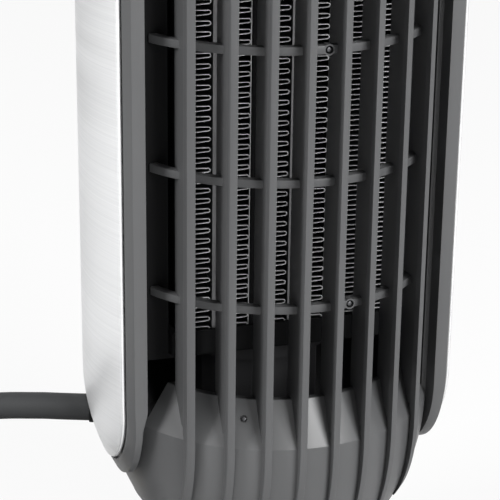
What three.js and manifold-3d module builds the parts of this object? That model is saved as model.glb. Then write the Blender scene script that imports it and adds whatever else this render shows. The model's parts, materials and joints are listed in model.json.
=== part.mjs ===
// Tower heater with a ceramic core. Millimetres, Z up, front towards -Y, floor at Z 0, body axis at X 0, Y 0.
import * as THREE from "three";
import { mergeVertices } from "three/addons/utils/BufferGeometryUtils.js";
import Module from "manifold-3d";

const wasm = await Module();
wasm.setup();

// General fits
const fitGap = 0.3;
const cutReach = 200;
const cutOver = 3;
const midHeight = 243.2;
const roundSegments = 40;
const smallSegments = 12;
const screwSegments = 8;
const arcSteps = 4;

// Barrel of the body: straight in the middle, drawn in towards both ends
const skinRadius = 62.7;
const skinThickness = 1.5;
const barrelArc = 70.3;
const barrelArcStart = 102.7;
const barrelLow = 52;
const skinFront = -24.2;
const skinLow = 71.5;
const skinCorner = 29;
const wallThickness = 2.2;
const rimFront = -25.4;
const rimOuterX = 56.6;
const rimOuterY = -24.5;
const rimRidgeX = 52;
const rimStepX = 51.2;
const rimStep = 1.3;
const flangeInnerX = 48;
const flangeThickness = 1.6;
const rimLow = 66.6;
const rimCorner = 26;
const housingPlate = 2.5;

// Front grille
const ribCount = 8;
const ribPitch = 11;
const ribThickness = 2.2;
const ribRadius = 57.7;
const ribDepth = 14.3;
const ribArc = 66;
const ribArcStart = 94;
const barSetback = 5.6;
const barRadius = ribRadius - barSetback;
const barCentreY = 0.6;
const barThickness = 3;
const barHeight = 2.6;
const barCount = 6;
const barPitch = 41.14;
const barEndGap = 1.6;
const barEndX = flangeInnerX - barEndGap;
const ribProud = 2.7;
const bowlRadius = ribRadius - ribProud;
const bowlLow = 58.6;
const bowlArc = 72;
const bowlArcStart = 92;
const bowlWall = 2;
const ledgeFoot = 94.2;
const ledgeRise = 14.3;
const ledgeRun = 7.1;
const ledgeTop = ledgeFoot + ledgeRise;
const ledgeRadius = bowlRadius - ledgeRun;
const ribFootRise = 3.8;
const ribFoot = ledgeFoot + ribFootRise;

// Grille screws: [x, height of the centre]
const screwHeadRadius = 1.1;
const screwHeadDepth = 1.2;
const screwShankRadius = 0.7;
const barScrewLength = 2;
const ledgeScrewLength = 3;
const barScrewX = [1.5, 11];
const ledgeScrewX = -22;
const ledgeScrewShare = 0.55;
const ledgeScrewHeight = ledgeFoot + ledgeRise * ledgeScrewShare;

// Heating core
const finStrips = 6;
const stripPitch = 12.8;
const finWidth = 10.8;
const finPeriod = 6.6;
const finSheet = 0.4;
const frameFront = rimFront + rimStep + flangeThickness + fitGap;
const frameDepth = 12.7;
const frameBack = frameFront + frameDepth;
const coreStandOff = 2;
const coreFront = frameFront - coreStandOff;
const coreDepth = 12;
const coreLow = 123;
const heaterBarThickness = 1.4;
const holderHeight = 5;
const holderWall = 1.5;
const holderLip = 3;

// Frame round the core
const frameOverlap = 1.7;
const frameHalfWidth = flangeInnerX + frameOverlap;
const frameFoot = 2;
const frameLow = coreLow - holderHeight - frameFoot;
const windowSlack = 0.4;

// Fan
const wheelY = 19;
const wheelRadius = 24;
const wheelInner = 17;
const bladeCount = 18;
const bladeSheet = 0.9;
const bladeLean = 0.55;
const wheelDisc = 1.6;
const wheelDiscs = 3;
const shaftRadius = 2.5;
const fanLow = 112;
const fanPlate = 2.4;
const wheelEndGap = 3.6;
const wheelLow = fanLow + fanPlate + wheelEndGap;
const shaftInMotor = 24;
const shaftLow = fanLow - shaftInMotor;
const shaftPastPlate = 4.6;
const shaftHigh = 2 * midHeight - fanLow + shaftPastPlate;
const fanWall = 1.8;
const scrollNear = 2.5;
const scrollFar = 9;
const scrollSteps = 10;
const scrollTurn = 2.1;
const tongueGap = 2.6;
const throatX = 37;
const throatY = frameBack + fitGap;
const plateBack = 55;
const plateSide = 1.2;
const plateHalfWidth = throatX + fanWall + plateSide;
const bearingOuter = 7;
const bearingHeight = 6;
const motorRadius = 24;
const motorHeight = 32;
const motorFlange = 4;
const motorHigh = fanLow - motorFlange;
const motorLow = motorHigh - motorHeight;
const motorFlangeRadius = 28;
const motorCollar = 8;

// Rear air inlet
const inletHalfWidth = 33;
const inletLow = 122;
const slotRows = 3;
const slotEnd = 8.2;
const slotBridge = 8;
const slotHeight = (2 * (midHeight - inletLow - slotEnd) - (slotRows - 1) * slotBridge) / slotRows;
const slotPitch = slotHeight + slotBridge;
const slotWidth = 4.4;
const slotColumns = 7;
const slotColumnPitch = 8.4;
const inletSheet = 2;

// Controls
const capRim = 41.9;
const capLow = 2 * midHeight - bowlLow + fitGap;
const capRise = 7.4;
const capTop = capLow + capRise;
const capWall = 2.2;
const knobX = 19;
const knobY = 3;
const knobRadius = 13;
const knobHeight = 14;
const knobGripDepth = 1;
const knobGrips = 12;
const knobShaftRadius = 3;
const knobShaftLength = 14;
const pointerLength = 9;
const pointerWidth = 1.6;
const pointerDepth = 0.8;
const switchSide = 22;
const switchHeight = 18;
const thermostatRadius = 13;
const thermostatHeight = 14;
const lensY = -26;
const lensRadius = 3;
const lensHead = 4;
const lensHeight = 1.6;
const capThroat = 37;

// Safety parts
const cutoutX = 44;
const cutoutHeight = 205;
const cutoutRadius = 5;
const cutoutDepth = 6;
const tiltX = 0;
const tiltY = 34;
const tiltSize = 14;
const tiltHeight = 20;

// Base
const dishTop = bowlLow - fitGap;
const dishPlateThickness = 2.5;
const neckTopRadius = 41.4;
const dishHeight = 7.4;
const neckKink = dishTop - dishHeight;
const neckRadius = 40.5;
const neckLow = 44;
const baseRadius = 68;
const baseShoulder = 13;
const baseWall = 2.5;
const baseLow = 3.2;
const basePlateRadius = baseRadius - baseWall - 2 * fitGap;
const basePlateLow = 3;
const basePlateThickness = 2.5;
const footRadius = 8;
const footInset = 14;
const footRing = baseRadius - footInset;
const footHeight = 3.6;
const footSeat = 0.9;
const footCount = 4;
const footAngle = 0.785;
const bossRadius = 4;
const bossRing = footRing;
const bossCount = 4;
const bossAngle = 0;
const bossRoof = 14;
const bigScrewHead = 3;
const bigScrewHeadHeight = 1.8;
const bigScrewShank = 1.5;
const bigScrewLength = 10;
const neckScrewRing = 32;
const neckScrewAngles = [0.45, 1.571, 2.692];
const neckScrewRise = 7.2;
const neckScrewHigh = rimLow + rimStep + neckScrewRise;

// Mains cord
const cordRadius = 4.6;
const cordSides = 8;
const glandX = -58.6;
const glandY = 10.5;
const glandZ = 86.1;
const cordAim = new THREE.Vector3(-0.96, 0.275, 0.03).normalize();
const glandSleeve = 4.8;
const glandFlange = 5.6;
const glandFlangeThickness = 1.6;
const glandInside = 12;
const glandOutside = 5.5;
const coilCentre = new THREE.Vector3(-218, -35, 0);
const coilOuter = 53.65;
const coilInner = 42;
const coilLayers = 4;
const coilStepHeight = 10;
const coilRadialPitch = 10;
const coilLoopSteps = 24;
const coilSides = 6;
const coilStart = 1.571;
const tieSheet = 0.9;
const tieWidth = 9;
const tieTurns = 0.55;
const plugRadius = 19;
const plugLength = 34;
const plugNeck = 8;
const plugNeckLength = 16;
const pinRadius = 2.4;
const pinLength = 19;
const pinSpacing = 19;
const pinSeat = 5;

const blackPlastic = { color: 0x2b2c2f, roughness: 0.42, metalness: 0 };
const darkPlastic = { color: 0x1b1c1e, roughness: 0.6, metalness: 0 };
const silverPaint = { color: 0xc9cacc, roughness: 0.38, metalness: 0.55 };
const aluminium = { color: 0xb9bbbe, roughness: 0.35, metalness: 0.9 };
const steel = { color: 0x9a9ca0, roughness: 0.35, metalness: 0.9 };
const rubber = { color: 0x202021, roughness: 0.85, metalness: 0 };
const clearRed = { color: 0xb03a2c, roughness: 0.2, metalness: 0 };
const brass = { color: 0xc9a45c, roughness: 0.3, metalness: 0.9 };

const part = new THREE.Group();

// Solid from a closed geometry, whichever way its faces wind.
function solid(geometry) {
  const bare = geometry.index ? geometry.toNonIndexed() : geometry.clone();
  bare.deleteAttribute("normal");
  bare.deleteAttribute("uv");
  const merged = mergeVertices(bare, 1e-4);
  const triVerts = new Uint32Array(merged.index.array);
  const vertProperties = merged.attributes.position.array;
  const made = new wasm.Manifold(new wasm.Mesh({ numProp: 3, vertProperties, triVerts }));
  if (made.volume() > 0) return made;
  for (let i = 0; i < triVerts.length; i += 3) {
    [triVerts[i + 1], triVerts[i + 2]] = [triVerts[i + 2], triVerts[i + 1]];
  }
  return new wasm.Manifold(new wasm.Mesh({ numProp: 3, vertProperties, triVerts }));
}

function joined(list) {
  return list.reduce((all, next) => all.add(next));
}

function cut(body, list) {
  return list.reduce((left, next) => left.subtract(next), body);
}

// Names a solid and adds it to the part.
function add(name, body, look) {
  const mesh = body.getMesh();
  const places = new Float32Array(mesh.numVert * 3);
  for (let i = 0; i < mesh.numVert; i++) {
    places.set(mesh.vertProperties.subarray(i * mesh.numProp, i * mesh.numProp + 3), i * 3);
  }
  const indexed = new THREE.BufferGeometry();
  indexed.setAttribute("position", new THREE.BufferAttribute(places, 3));
  indexed.setIndex(new THREE.BufferAttribute(mesh.triVerts, 1));
  const geometry = indexed.toNonIndexed();
  geometry.computeVertexNormals();
  const object = new THREE.Mesh(geometry, new THREE.MeshStandardMaterial(look));
  object.name = name;
  part.add(object);
  return body;
}

function mirrored(height) {
  return 2 * midHeight - height;
}

// Turns a profile of [radius, height] points round the body axis.
function turned(points, segments) {
  const profile = points.map(([radius, height]) => new THREE.Vector2(radius, height));
  return solid(new THREE.LatheGeometry(profile, segments).rotateX(Math.PI / 2));
}

// Raises a closed outline in the plan from one height to another.
function upright(points, low, high) {
  const outline = new THREE.Shape(points.map(([x, y]) => new THREE.Vector2(x, y)));
  const options = { depth: high - low, bevelEnabled: false, steps: 1 };
  return solid(new THREE.ExtrudeGeometry(outline, options).translate(0, 0, low));
}

// Stretches a closed outline of [y, z] points along X.
function sideways(points, left, right) {
  const outline = new THREE.Shape(points.map(([y, z]) => new THREE.Vector2(y, z)));
  const options = { depth: right - left, bevelEnabled: false, steps: 1 };
  const turn = new THREE.Matrix4().makeBasis(
    new THREE.Vector3(0, 1, 0),
    new THREE.Vector3(0, 0, 1),
    new THREE.Vector3(1, 0, 0),
  );
  return solid(new THREE.ExtrudeGeometry(outline, options).applyMatrix4(turn).translate(left, 0, 0));
}

// Stretches a closed outline of [x, z] points along Y.
function lengthways(points, front, back) {
  const outline = new THREE.Shape(points.map(([x, z]) => new THREE.Vector2(x, z)));
  const options = { depth: back - front, bevelEnabled: false, steps: 1 };
  const turn = new THREE.Matrix4().makeBasis(
    new THREE.Vector3(1, 0, 0),
    new THREE.Vector3(0, 0, 1),
    new THREE.Vector3(0, -1, 0),
  );
  return solid(new THREE.ExtrudeGeometry(outline, options).applyMatrix4(turn).translate(0, back, 0));
}

function box(left, right, front, back, low, high) {
  const geometry = new THREE.BoxGeometry(right - left, back - front, high - low);
  return solid(geometry.translate((left + right) / 2, (front + back) / 2, (low + high) / 2));
}

// Upright cylinder.
function post(x, y, radius, low, high, segments) {
  const geometry = new THREE.CylinderGeometry(radius, radius, high - low, segments);
  return solid(geometry.rotateX(Math.PI / 2).translate(x, y, (low + high) / 2));
}

// Cylinder from one point along a direction.
function rod(start, aim, radius, length, segments) {
  const geometry = new THREE.CylinderGeometry(radius, radius, length, segments);
  geometry.translate(0, length / 2, 0);
  geometry.applyQuaternion(new THREE.Quaternion().setFromUnitVectors(new THREE.Vector3(0, 1, 0), aim));
  return solid(geometry.translate(start.x, start.y, start.z));
}

// Points along an arc in any plane of two axes, from one angle to another.
function arc(centreA, centreB, radius, from, to, steps) {
  const points = [];
  for (let i = 0; i <= steps; i++) {
    const angle = from + ((to - from) * i) / steps;
    points.push([centreA + radius * Math.cos(angle), centreB + radius * Math.sin(angle)]);
  }
  return points;
}

// Radius of a barrel side at a height: straight, then drawn in along an arc below the start height.
function barrelRadius(radius, arcRadius, start, height) {
  const folded = Math.min(height, mirrored(height));
  const drop = Math.max(start - folded, 0);
  return radius - arcRadius + Math.sqrt(arcRadius ** 2 - drop ** 2);
}

// Heights at which a barrel side is drawn, from its low end to the mirrored one.
function barrelHeights(start, low) {
  const heights = [];
  for (let i = 0; i <= arcSteps; i++) heights.push(low + ((start - low) * i) / arcSteps);
  return heights.concat(heights.slice().reverse().map(mirrored));
}

function barrelSide(radius, arcRadius, start, low) {
  return barrelHeights(start, low).map((height) => [barrelRadius(radius, arcRadius, start, height), height]);
}

function barrel(inset) {
  const side = barrelSide(skinRadius, barrelArc, barrelArcStart, barrelLow);
  const inner = side.map(([radius, height]) => [radius - inset, height]);
  return turned([[0, barrelLow], ...inner, [0, mirrored(barrelLow)]], roundSegments);
}

// Side view of a body whose front corners are rounded
function sideOutline(front, low, corner, inset) {
  const nose = front + inset;
  const foot = low + inset;
  const bend = corner - inset;
  const lowArc = arc(nose + bend, foot + bend, bend, 1.5 * Math.PI, Math.PI, arcSteps);
  const highArc = lowArc.slice().reverse().map(([y, z]) => [y, mirrored(z)]);
  return [[cutReach, foot], ...lowArc, ...highArc, [cutReach, mirrored(foot)]];
}

function sideBlock(front, low, corner, inset) {
  return sideways(sideOutline(front, low, corner, inset), -cutReach, cutReach);
}

// Solid through side outlines of equal point counts, each at its own place across the width.
function lofted(sections) {
  const count = sections[0].outline.length;
  const places = sections.flatMap(({ x, outline }) => outline.flatMap(([y, z]) => [x, y, z]));
  const faces = [];
  for (let i = 1; i < sections.length; i++) {
    for (let k = 0; k < count; k++) {
      const a = (i - 1) * count + k;
      const b = (i - 1) * count + ((k + 1) % count);
      faces.push(a, b, b + count, a, b + count, a + count);
    }
  }
  const last = (sections.length - 1) * count;
  const flat = sections[0].outline.map(([y, z]) => new THREE.Vector2(y, z));
  THREE.ShapeUtils.triangulateShape(flat, []).forEach(([a, b, c]) => {
    const turnsLeft = flat[b].clone().sub(flat[a]).cross(flat[c].clone().sub(flat[a])) > 0;
    const outlineTurnsLeft = THREE.ShapeUtils.area(flat) > 0;
    const face = turnsLeft === outlineTurnsLeft ? [a, b, c] : [a, c, b];
    faces.push(face[0], face[2], face[1], last + face[0], last + face[1], last + face[2]);
  });
  const geometry = new THREE.BufferGeometry();
  geometry.setAttribute("position", new THREE.Float32BufferAttribute(places, 3));
  geometry.setIndex(faces);
  return solid(geometry);
}

// Silver skin
const fullBarrel = barrel(0);
const skinInside = barrel(skinThickness);
const skinBlock = sideBlock(skinFront, skinLow, skinCorner, 0);
const glandCentre = new THREE.Vector3(glandX, glandY, glandZ);
const glandHole = rod(
  glandCentre.clone().addScaledVector(cordAim, -glandInside - cutOver),
  cordAim,
  glandSleeve + fitGap,
  glandInside + glandOutside + 3 * cutOver,
  smallSegments,
);
const inletHigh = mirrored(inletLow);
const inletCutter = box(-inletHalfWidth, inletHalfWidth, 0, cutReach, inletLow, inletHigh);
const flangeRecess = rod(
  glandCentre.clone().addScaledVector(cordAim, -glandFlangeThickness),
  cordAim,
  glandFlange + fitGap,
  glandOutside + 3 * cutOver,
  smallSegments,
);
add(
  "outer_skin",
  cut(fullBarrel.subtract(skinInside).intersect(skinBlock), [inletCutter, glandHole, flangeRecess]),
  silverPaint,
);

// Rear housing with the rim beside the grille
const flangeBlock = sideBlock(rimFront, rimLow, rimCorner, rimStep);
const skinRoom = sideBlock(skinFront - fitGap, skinLow - fitGap, skinCorner, 0);
const underSkin = barrel(skinThickness + fitGap);
const housingInside = barrel(skinThickness + fitGap + wallThickness);
const rimSlope = (rimOuterY - rimFront) / (rimOuterX - rimRidgeX);
const rimFarX = skinRadius + cutOver;
const rimFall = rimSlope * (rimFarX - rimRidgeX);
const rimBlock = lofted([
  { x: -rimFarX, outline: sideOutline(rimFront, rimLow, rimCorner, rimFall) },
  { x: -rimRidgeX, outline: sideOutline(rimFront, rimLow, rimCorner, 0) },
  { x: rimRidgeX, outline: sideOutline(rimFront, rimLow, rimCorner, 0) },
  { x: rimFarX, outline: sideOutline(rimFront, rimLow, rimCorner, rimFall) },
]);
const rimStepSlab = box(-rimStepX, rimStepX, -cutReach, cutReach, 0, mirrored(0)).subtract(flangeBlock);
const flangeCore = sideBlock(rimFront, rimLow, rimCorner, rimStep + flangeThickness);
const outerForm = cut(fullBarrel.intersect(rimBlock), [skinRoom.subtract(underSkin), rimStepSlab]);
const wallForm = outerForm.subtract(housingInside.intersect(flangeCore));
const capOpening = post(0, 0, capThroat, mirrored(cutOver * rimLow), mirrored(0), roundSegments);
const frontOpening = box(
  -flangeInnerX,
  flangeInnerX,
  -cutReach,
  rimFront + rimStep + flangeThickness + cutOver,
  rimLow + rimStep + housingPlate,
  mirrored(rimLow + rimStep + housingPlate),
);

function ringPlaces(count, ring, start) {
  const places = [];
  for (let i = 0; i < count; i++) {
    const angle = start + (2 * Math.PI * i) / count;
    places.push([ring * Math.cos(angle), ring * Math.sin(angle)]);
  }
  return places;
}

const neckScrewPlaces = neckScrewAngles.map((angle) => [neckScrewRing * Math.cos(angle), neckScrewRing * Math.sin(angle)]);
const neckBosses = neckScrewPlaces.map(([x, y]) =>
  post(x, y, bossRadius, dishTop + fitGap, neckScrewHigh - fitGap, smallSegments),
);
const neckHoles = neckScrewPlaces.map(([x, y]) =>
  post(x, y, bigScrewShank + fitGap, 0, neckScrewHigh + cutOver, screwSegments),
);
add(
  "rear_housing",
  cut(joined([wallForm, ...neckBosses]), [capOpening, frontOpening, inletCutter, glandHole, flangeRecess, ...neckHoles]),
  blackPlastic,
);

// Front grille
const bowlSide = barrelHeights(bowlArcStart, bowlLow)
  .slice(0, arcSteps + 1)
  .map((height) => [barrelRadius(bowlRadius, bowlArc, bowlArcStart, height), height]);
const bowlProfile = [
  ...bowlSide,
  [bowlRadius, ledgeFoot],
  [ledgeRadius, ledgeTop],
  [ledgeRadius - bowlWall, ledgeTop],
  [bowlRadius - bowlWall, ledgeFoot - bowlWall],
  ...bowlSide.slice().reverse().map(([radius, height]) => [radius - bowlWall, height]),
];
bowlProfile.push(bowlProfile[0]);
const rimShadow = sideBlock(rimFront + rimStep - fitGap, rimLow + rimStep - fitGap, rimCorner - rimStep, 0);
const lowBowl = turned(bowlProfile, roundSegments).subtract(rimShadow);
const highBowl = turned(bowlProfile.map(([radius, height]) => [radius, mirrored(height)]), roundSegments).subtract(
  rimShadow,
);

function ribX(index) {
  return (index - (ribCount - 1) / 2) * ribPitch;
}

// Side outline of one rib: its curved front edge, and a back edge that steps in above the ledges.
function ribOutline(x) {
  const front = barrelHeights(ribArcStart, bowlLow).map((height) => [
    -Math.sqrt(barrelRadius(ribRadius, ribArc, ribArcStart, height) ** 2 - x ** 2),
    height,
  ]);
  const back = ribDepth - Math.sqrt(ribRadius ** 2 - x ** 2);
  const low = [[back, ribFoot], [0, ribFoot], [0, bowlLow]];
  const high = low.slice().reverse().map(([y, z]) => [y, mirrored(z)]);
  return [...front, ...high, ...low];
}

// Room that a bowl takes, which the ribs keep clear of
const bowlRoomProfile = [
  [0, bowlLow - cutOver],
  [bowlSide[0][0] + fitGap, bowlLow - cutOver],
  ...bowlSide.map(([radius, height]) => [radius + fitGap, height]),
  [bowlRadius + fitGap, ledgeFoot + fitGap],
  [ledgeRadius + fitGap, ledgeTop + fitGap],
  [0, ledgeTop + fitGap],
];
const bowlRooms = [
  turned(bowlRoomProfile, roundSegments),
  turned(bowlRoomProfile.map(([radius, height]) => [radius, mirrored(height)]), roundSegments),
];

function barArc(radius, centreY, spreadX) {
  const half = Math.asin(spreadX / radius);
  return arc(0, centreY, radius, -Math.PI / 2 - half, -Math.PI / 2 + half, 2 * arcSteps + 2);
}

const barTops = [];
for (let i = 0; i < barCount; i++) {
  barTops.push(midHeight + barHeight / 2 + (i - (barCount - 1) / 2) * barPitch);
}
const barPlan = [
  ...barArc(barRadius, barCentreY, barEndX),
  ...barArc(barRadius - barThickness, barCentreY, barEndX - barThickness / 2).reverse(),
];
const barRoom = box(-cutReach, cutReach, frameFront - fitGap, cutReach, 0, mirrored(0));
const bars = barTops.map((top) => upright(barPlan, top - barHeight, top).subtract(barRoom));
const ribs = [];
for (let i = 0; i < ribCount; i++) {
  const x = ribX(i);
  ribs.push(sideways(ribOutline(x), x - ribThickness / 2, x + ribThickness / 2));
}

// Screws that hold the grille: two in bars and one in the lower sloping floor, and two more at the upper end
const barScrewHeights = [
  barTops[2] - barHeight / 2,
  barTops[0] - barHeight / 2,
  barTops[barCount - 1] - barHeight / 2,
];
const aimBack = new THREE.Vector3(0, 1, 0);
const screwPlaces = [
  { x: barScrewX[0], z: barScrewHeights[0] },
  { x: barScrewX[1], z: barScrewHeights[1] },
  { x: -barScrewX[1], z: barScrewHeights[2] },
].map(({ x, z }) => ({
  start: new THREE.Vector3(x, barCentreY - Math.sqrt(barRadius ** 2 - x ** 2), z),
  aim: aimBack,
  length: barScrewLength,
}));
const ledgeSpotRadius = bowlRadius - ledgeRun * ledgeScrewShare;
const ledgeSpotY = -Math.sqrt(ledgeSpotRadius ** 2 - ledgeScrewX ** 2);
[1, -1].forEach((end) => {
  const outward = new THREE.Vector3(ledgeScrewX / ledgeSpotRadius, ledgeSpotY / ledgeSpotRadius, 0);
  const aim = outward.multiplyScalar(-ledgeRise).add(new THREE.Vector3(0, 0, -end * ledgeRun)).normalize();
  const height = end > 0 ? ledgeScrewHeight : mirrored(ledgeScrewHeight);
  screwPlaces.push({ start: new THREE.Vector3(ledgeScrewX, ledgeSpotY, height), aim, length: ledgeScrewLength });
});

function screwAt({ start, aim, length }, gap) {
  const headStart = start.clone().addScaledVector(aim, gap ? -cutOver : fitGap);
  const headLength = gap ? screwHeadDepth + cutOver : screwHeadDepth - fitGap;
  const head = rod(headStart, aim, screwHeadRadius + gap, headLength, screwSegments);
  const shank = rod(start.clone().addScaledVector(aim, screwHeadDepth / 2), aim, screwShankRadius + gap, length, screwSegments);
  return head.add(shank);
}

const bossAlong = screwPlaces.slice(0, barScrewHeights.length).map(({ start, aim }) => {
  const depth = barThickness - fitGap;
  return rod(start.clone().addScaledVector(aim, fitGap), aim, screwHeadRadius + 3 * fitGap, depth, screwSegments);
});
const screwHoles = screwPlaces.map((place) => screwAt(place, fitGap / 2));
add("front_grille", cut(joined([...bars, ...bossAlong, ...ribs]), [...bowlRooms, ...screwHoles]), blackPlastic);
add("bowl_lower", cut(lowBowl, screwHoles), blackPlastic);
add("bowl_upper", cut(highBowl, screwHoles), blackPlastic);
screwPlaces.forEach((place, i) => add("grille_screw_" + (i + 1), screwAt(place, 0), steel));

// Heating core: folded fin strips with a flat heater bar between neighbours
const coreHigh = mirrored(coreLow);
const coreBack = coreFront + coreDepth;

function finOutline(centreX) {
  const folds = Math.floor((coreHigh - coreLow) / finPeriod);
  const rise = (coreHigh - coreLow) / (2 * folds);
  const reach = (finSheet * Math.hypot(finWidth, rise)) / (2 * rise);
  const half = finWidth / 2 - reach;
  const run = [];
  for (let i = 0; i <= 2 * folds; i++) run.push([centreX + (i % 2 ? half : -half), coreLow + rise * i]);
  const rightSide = run.map(([x, z]) => [x + reach, z]);
  const leftSide = run.reverse().map(([x, z]) => [x - reach, z]);
  return [...rightSide, ...leftSide];
}

for (let i = 0; i < finStrips; i++) {
  const x = (i - (finStrips - 1) / 2) * stripPitch;
  add("fin_strip_" + (i + 1), lengthways(finOutline(x), coreFront, coreBack), aluminium);
}
for (let i = 1; i < finStrips; i++) {
  const x = (i - finStrips / 2) * stripPitch;
  const half = heaterBarThickness / 2;
  add("heater_bar_" + i, box(x - half, x + half, coreFront, coreBack, coreLow, coreHigh), aluminium);
}
const coreHalfWidth = (finStrips * stripPitch) / 2;

// Trough that grips one end of the core.
function holder(end) {
  const outer = box(
    -coreHalfWidth - holderWall,
    coreHalfWidth + holderWall,
    coreFront - holderWall,
    coreBack + holderWall,
    coreLow - holderHeight,
    coreLow + holderLip,
  );
  const pocket = box(
    -coreHalfWidth,
    coreHalfWidth,
    coreFront - fitGap,
    coreBack + fitGap,
    coreLow - fitGap,
    coreLow + holderLip + cutOver,
  );
  const low = outer.subtract(pocket);
  return end > 0 ? low : flipped(low);
}

// The same solid mirrored to the other end of the body.
function flipped(body) {
  return body.mirror([0, 0, 1]).translate([0, 0, mirrored(0)]);
}

const holderLow = holder(1);
add("core_holder_lower", holderLow, darkPlastic);
add("core_holder_upper", holder(-1), darkPlastic);

// Frame round the core, behind the flange of the housing
const frameOuter = box(-frameHalfWidth, frameHalfWidth, frameFront, frameBack, frameLow, mirrored(frameLow));
const frameRoom = coreHalfWidth + holderWall + windowSlack;
const frameWindow = box(
  -frameRoom,
  frameRoom,
  -cutReach,
  cutReach,
  coreLow - holderHeight - windowSlack,
  mirrored(coreLow - holderHeight - windowSlack),
);
const cutoutHole = rod(
  new THREE.Vector3(cutoutX, frameBack - cutoutDepth / 2, cutoutHeight),
  aimBack,
  cutoutRadius + fitGap,
  cutoutDepth + cutOver,
  smallSegments,
);
add("core_frame", cut(frameOuter, [frameWindow, cutoutHole]), darkPlastic);
add(
  "thermal_cutout",
  rod(new THREE.Vector3(cutoutX, frameBack - cutoutDepth / 2 + fitGap, cutoutHeight), aimBack, cutoutRadius, cutoutDepth, smallSegments),
  steel,
);

// Cross-flow fan wheel with its shaft
const wheelHigh = mirrored(wheelLow);

function bladeOutline(index) {
  const angle = (2 * Math.PI * index) / bladeCount;
  const along = angle + bladeLean;
  const start = [wheelInner * Math.cos(angle), wheelY + wheelInner * Math.sin(angle)];
  const length = (wheelRadius - wheelInner) / Math.cos(bladeLean) - bladeSheet;
  const tip = [start[0] + length * Math.cos(along), start[1] + length * Math.sin(along)];
  const side = [-Math.sin(along) * bladeSheet, Math.cos(along) * bladeSheet];
  return [start, tip, [tip[0] + side[0], tip[1] + side[1]], [start[0] + side[0], start[1] + side[1]]];
}

const blades = [];
for (let i = 0; i < bladeCount; i++) blades.push(upright(bladeOutline(i), wheelLow, wheelHigh));
const discs = [];
for (let i = 0; i < wheelDiscs; i++) {
  const low = wheelLow + ((wheelHigh - wheelLow - wheelDisc) * i) / (wheelDiscs - 1);
  discs.push(post(0, wheelY, wheelRadius, low, low + wheelDisc, 2 * smallSegments));
}
const shaft = post(0, wheelY, shaftRadius, shaftLow, shaftHigh, screwSegments);
add("fan_wheel", joined([...discs, ...blades, shaft]), darkPlastic);

// Fan housing: two end plates, a scroll wall on one side and a tongue wall on the other
function scrollWall() {
  const inner = [];
  const outer = [];
  for (let i = 0; i <= scrollSteps; i++) {
    const angle = (scrollTurn * i) / scrollSteps;
    const radius = wheelRadius + scrollFar - ((scrollFar - scrollNear) * i) / scrollSteps;
    inner.push([radius * Math.cos(angle), wheelY + radius * Math.sin(angle)]);
    outer.push([(radius + fanWall) * Math.cos(angle), wheelY + (radius + fanWall) * Math.sin(angle)]);
  }
  return [[throatX, throatY], ...inner, ...outer.reverse(), [throatX + fanWall, throatY]];
}

const tongueX = -wheelRadius - tongueGap;
const tongueWall = [
  [-throatX, throatY],
  [tongueX, wheelY - wheelRadius / 2],
  [tongueX, wheelY],
  [tongueX - fanWall, wheelY],
  [tongueX - fanWall, wheelY - wheelRadius / 2 + fanWall / 2],
  [-throatX - fanWall, throatY + fanWall],
  [-throatX - fanWall, throatY],
];
const fanHigh = mirrored(fanLow);
const platePlan = [
  [-plateHalfWidth, throatY],
  [plateHalfWidth, throatY],
  [plateHalfWidth, wheelY + wheelRadius / 2],
  [wheelRadius / 2, plateBack],
  [-wheelRadius / 2, plateBack],
  [-plateHalfWidth, wheelY + wheelRadius / 2],
];
const motorHole = post(0, wheelY, motorCollar + fitGap, 0, fanLow + fanPlate + cutOver, smallSegments);
const bearingHole = post(0, wheelY, bearingOuter + fitGap, fanHigh - fanPlate - cutOver, mirrored(0), smallSegments);
add(
  "fan_housing",
  cut(
    joined([
      upright(platePlan, fanLow, fanLow + fanPlate),
      upright(platePlan, fanHigh - fanPlate, fanHigh),
      upright(scrollWall(), fanLow, fanHigh),
      upright(tongueWall, fanLow, fanHigh),
    ]),
    [motorHole, bearingHole],
  ),
  darkPlastic,
);
const bearingLow = fanHigh - fanPlate;
const bearingBush = post(0, wheelY, bearingOuter, bearingLow, bearingLow + bearingHeight, smallSegments);
const bearingBore = post(0, wheelY, shaftRadius + fitGap, bearingLow - cutOver, bearingLow + bearingHeight + cutOver, smallSegments);
add("upper_bearing", bearingBush.subtract(bearingBore), rubber);
const motorBody = joined([
  post(0, wheelY, motorRadius, motorLow, motorHigh, 2 * smallSegments),
  post(0, wheelY, motorFlangeRadius, motorHigh - fanPlate, fanLow - fitGap, 2 * smallSegments),
  post(0, wheelY, motorCollar, motorLow, fanLow + fanPlate, smallSegments),
]);
const motorBore = post(0, wheelY, shaftRadius + fitGap, shaftLow - fitGap, fanHigh, smallSegments);
add("fan_motor", motorBody.subtract(motorBore), darkPlastic);

// Rear air inlet grille, flush with the skin
const inletShell = fullBarrel.subtract(barrel(inletSheet));
const inletPanel = inletShell.intersect(
  box(-inletHalfWidth + fitGap, inletHalfWidth - fitGap, 0, cutReach, inletLow + fitGap, inletHigh - fitGap),
);
const slots = [];
for (let row = 0; row < slotRows; row++) {
  const z = midHeight + (row - (slotRows - 1) / 2) * slotPitch;
  for (let column = 0; column < slotColumns; column++) {
    const x = (column - (slotColumns - 1) / 2) * slotColumnPitch;
    slots.push(box(x - slotWidth / 2, x + slotWidth / 2, 0, cutReach, z - slotHeight / 2, z + slotHeight / 2));
  }
}
add("inlet_grille", cut(inletPanel, slots), blackPlastic);

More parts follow.
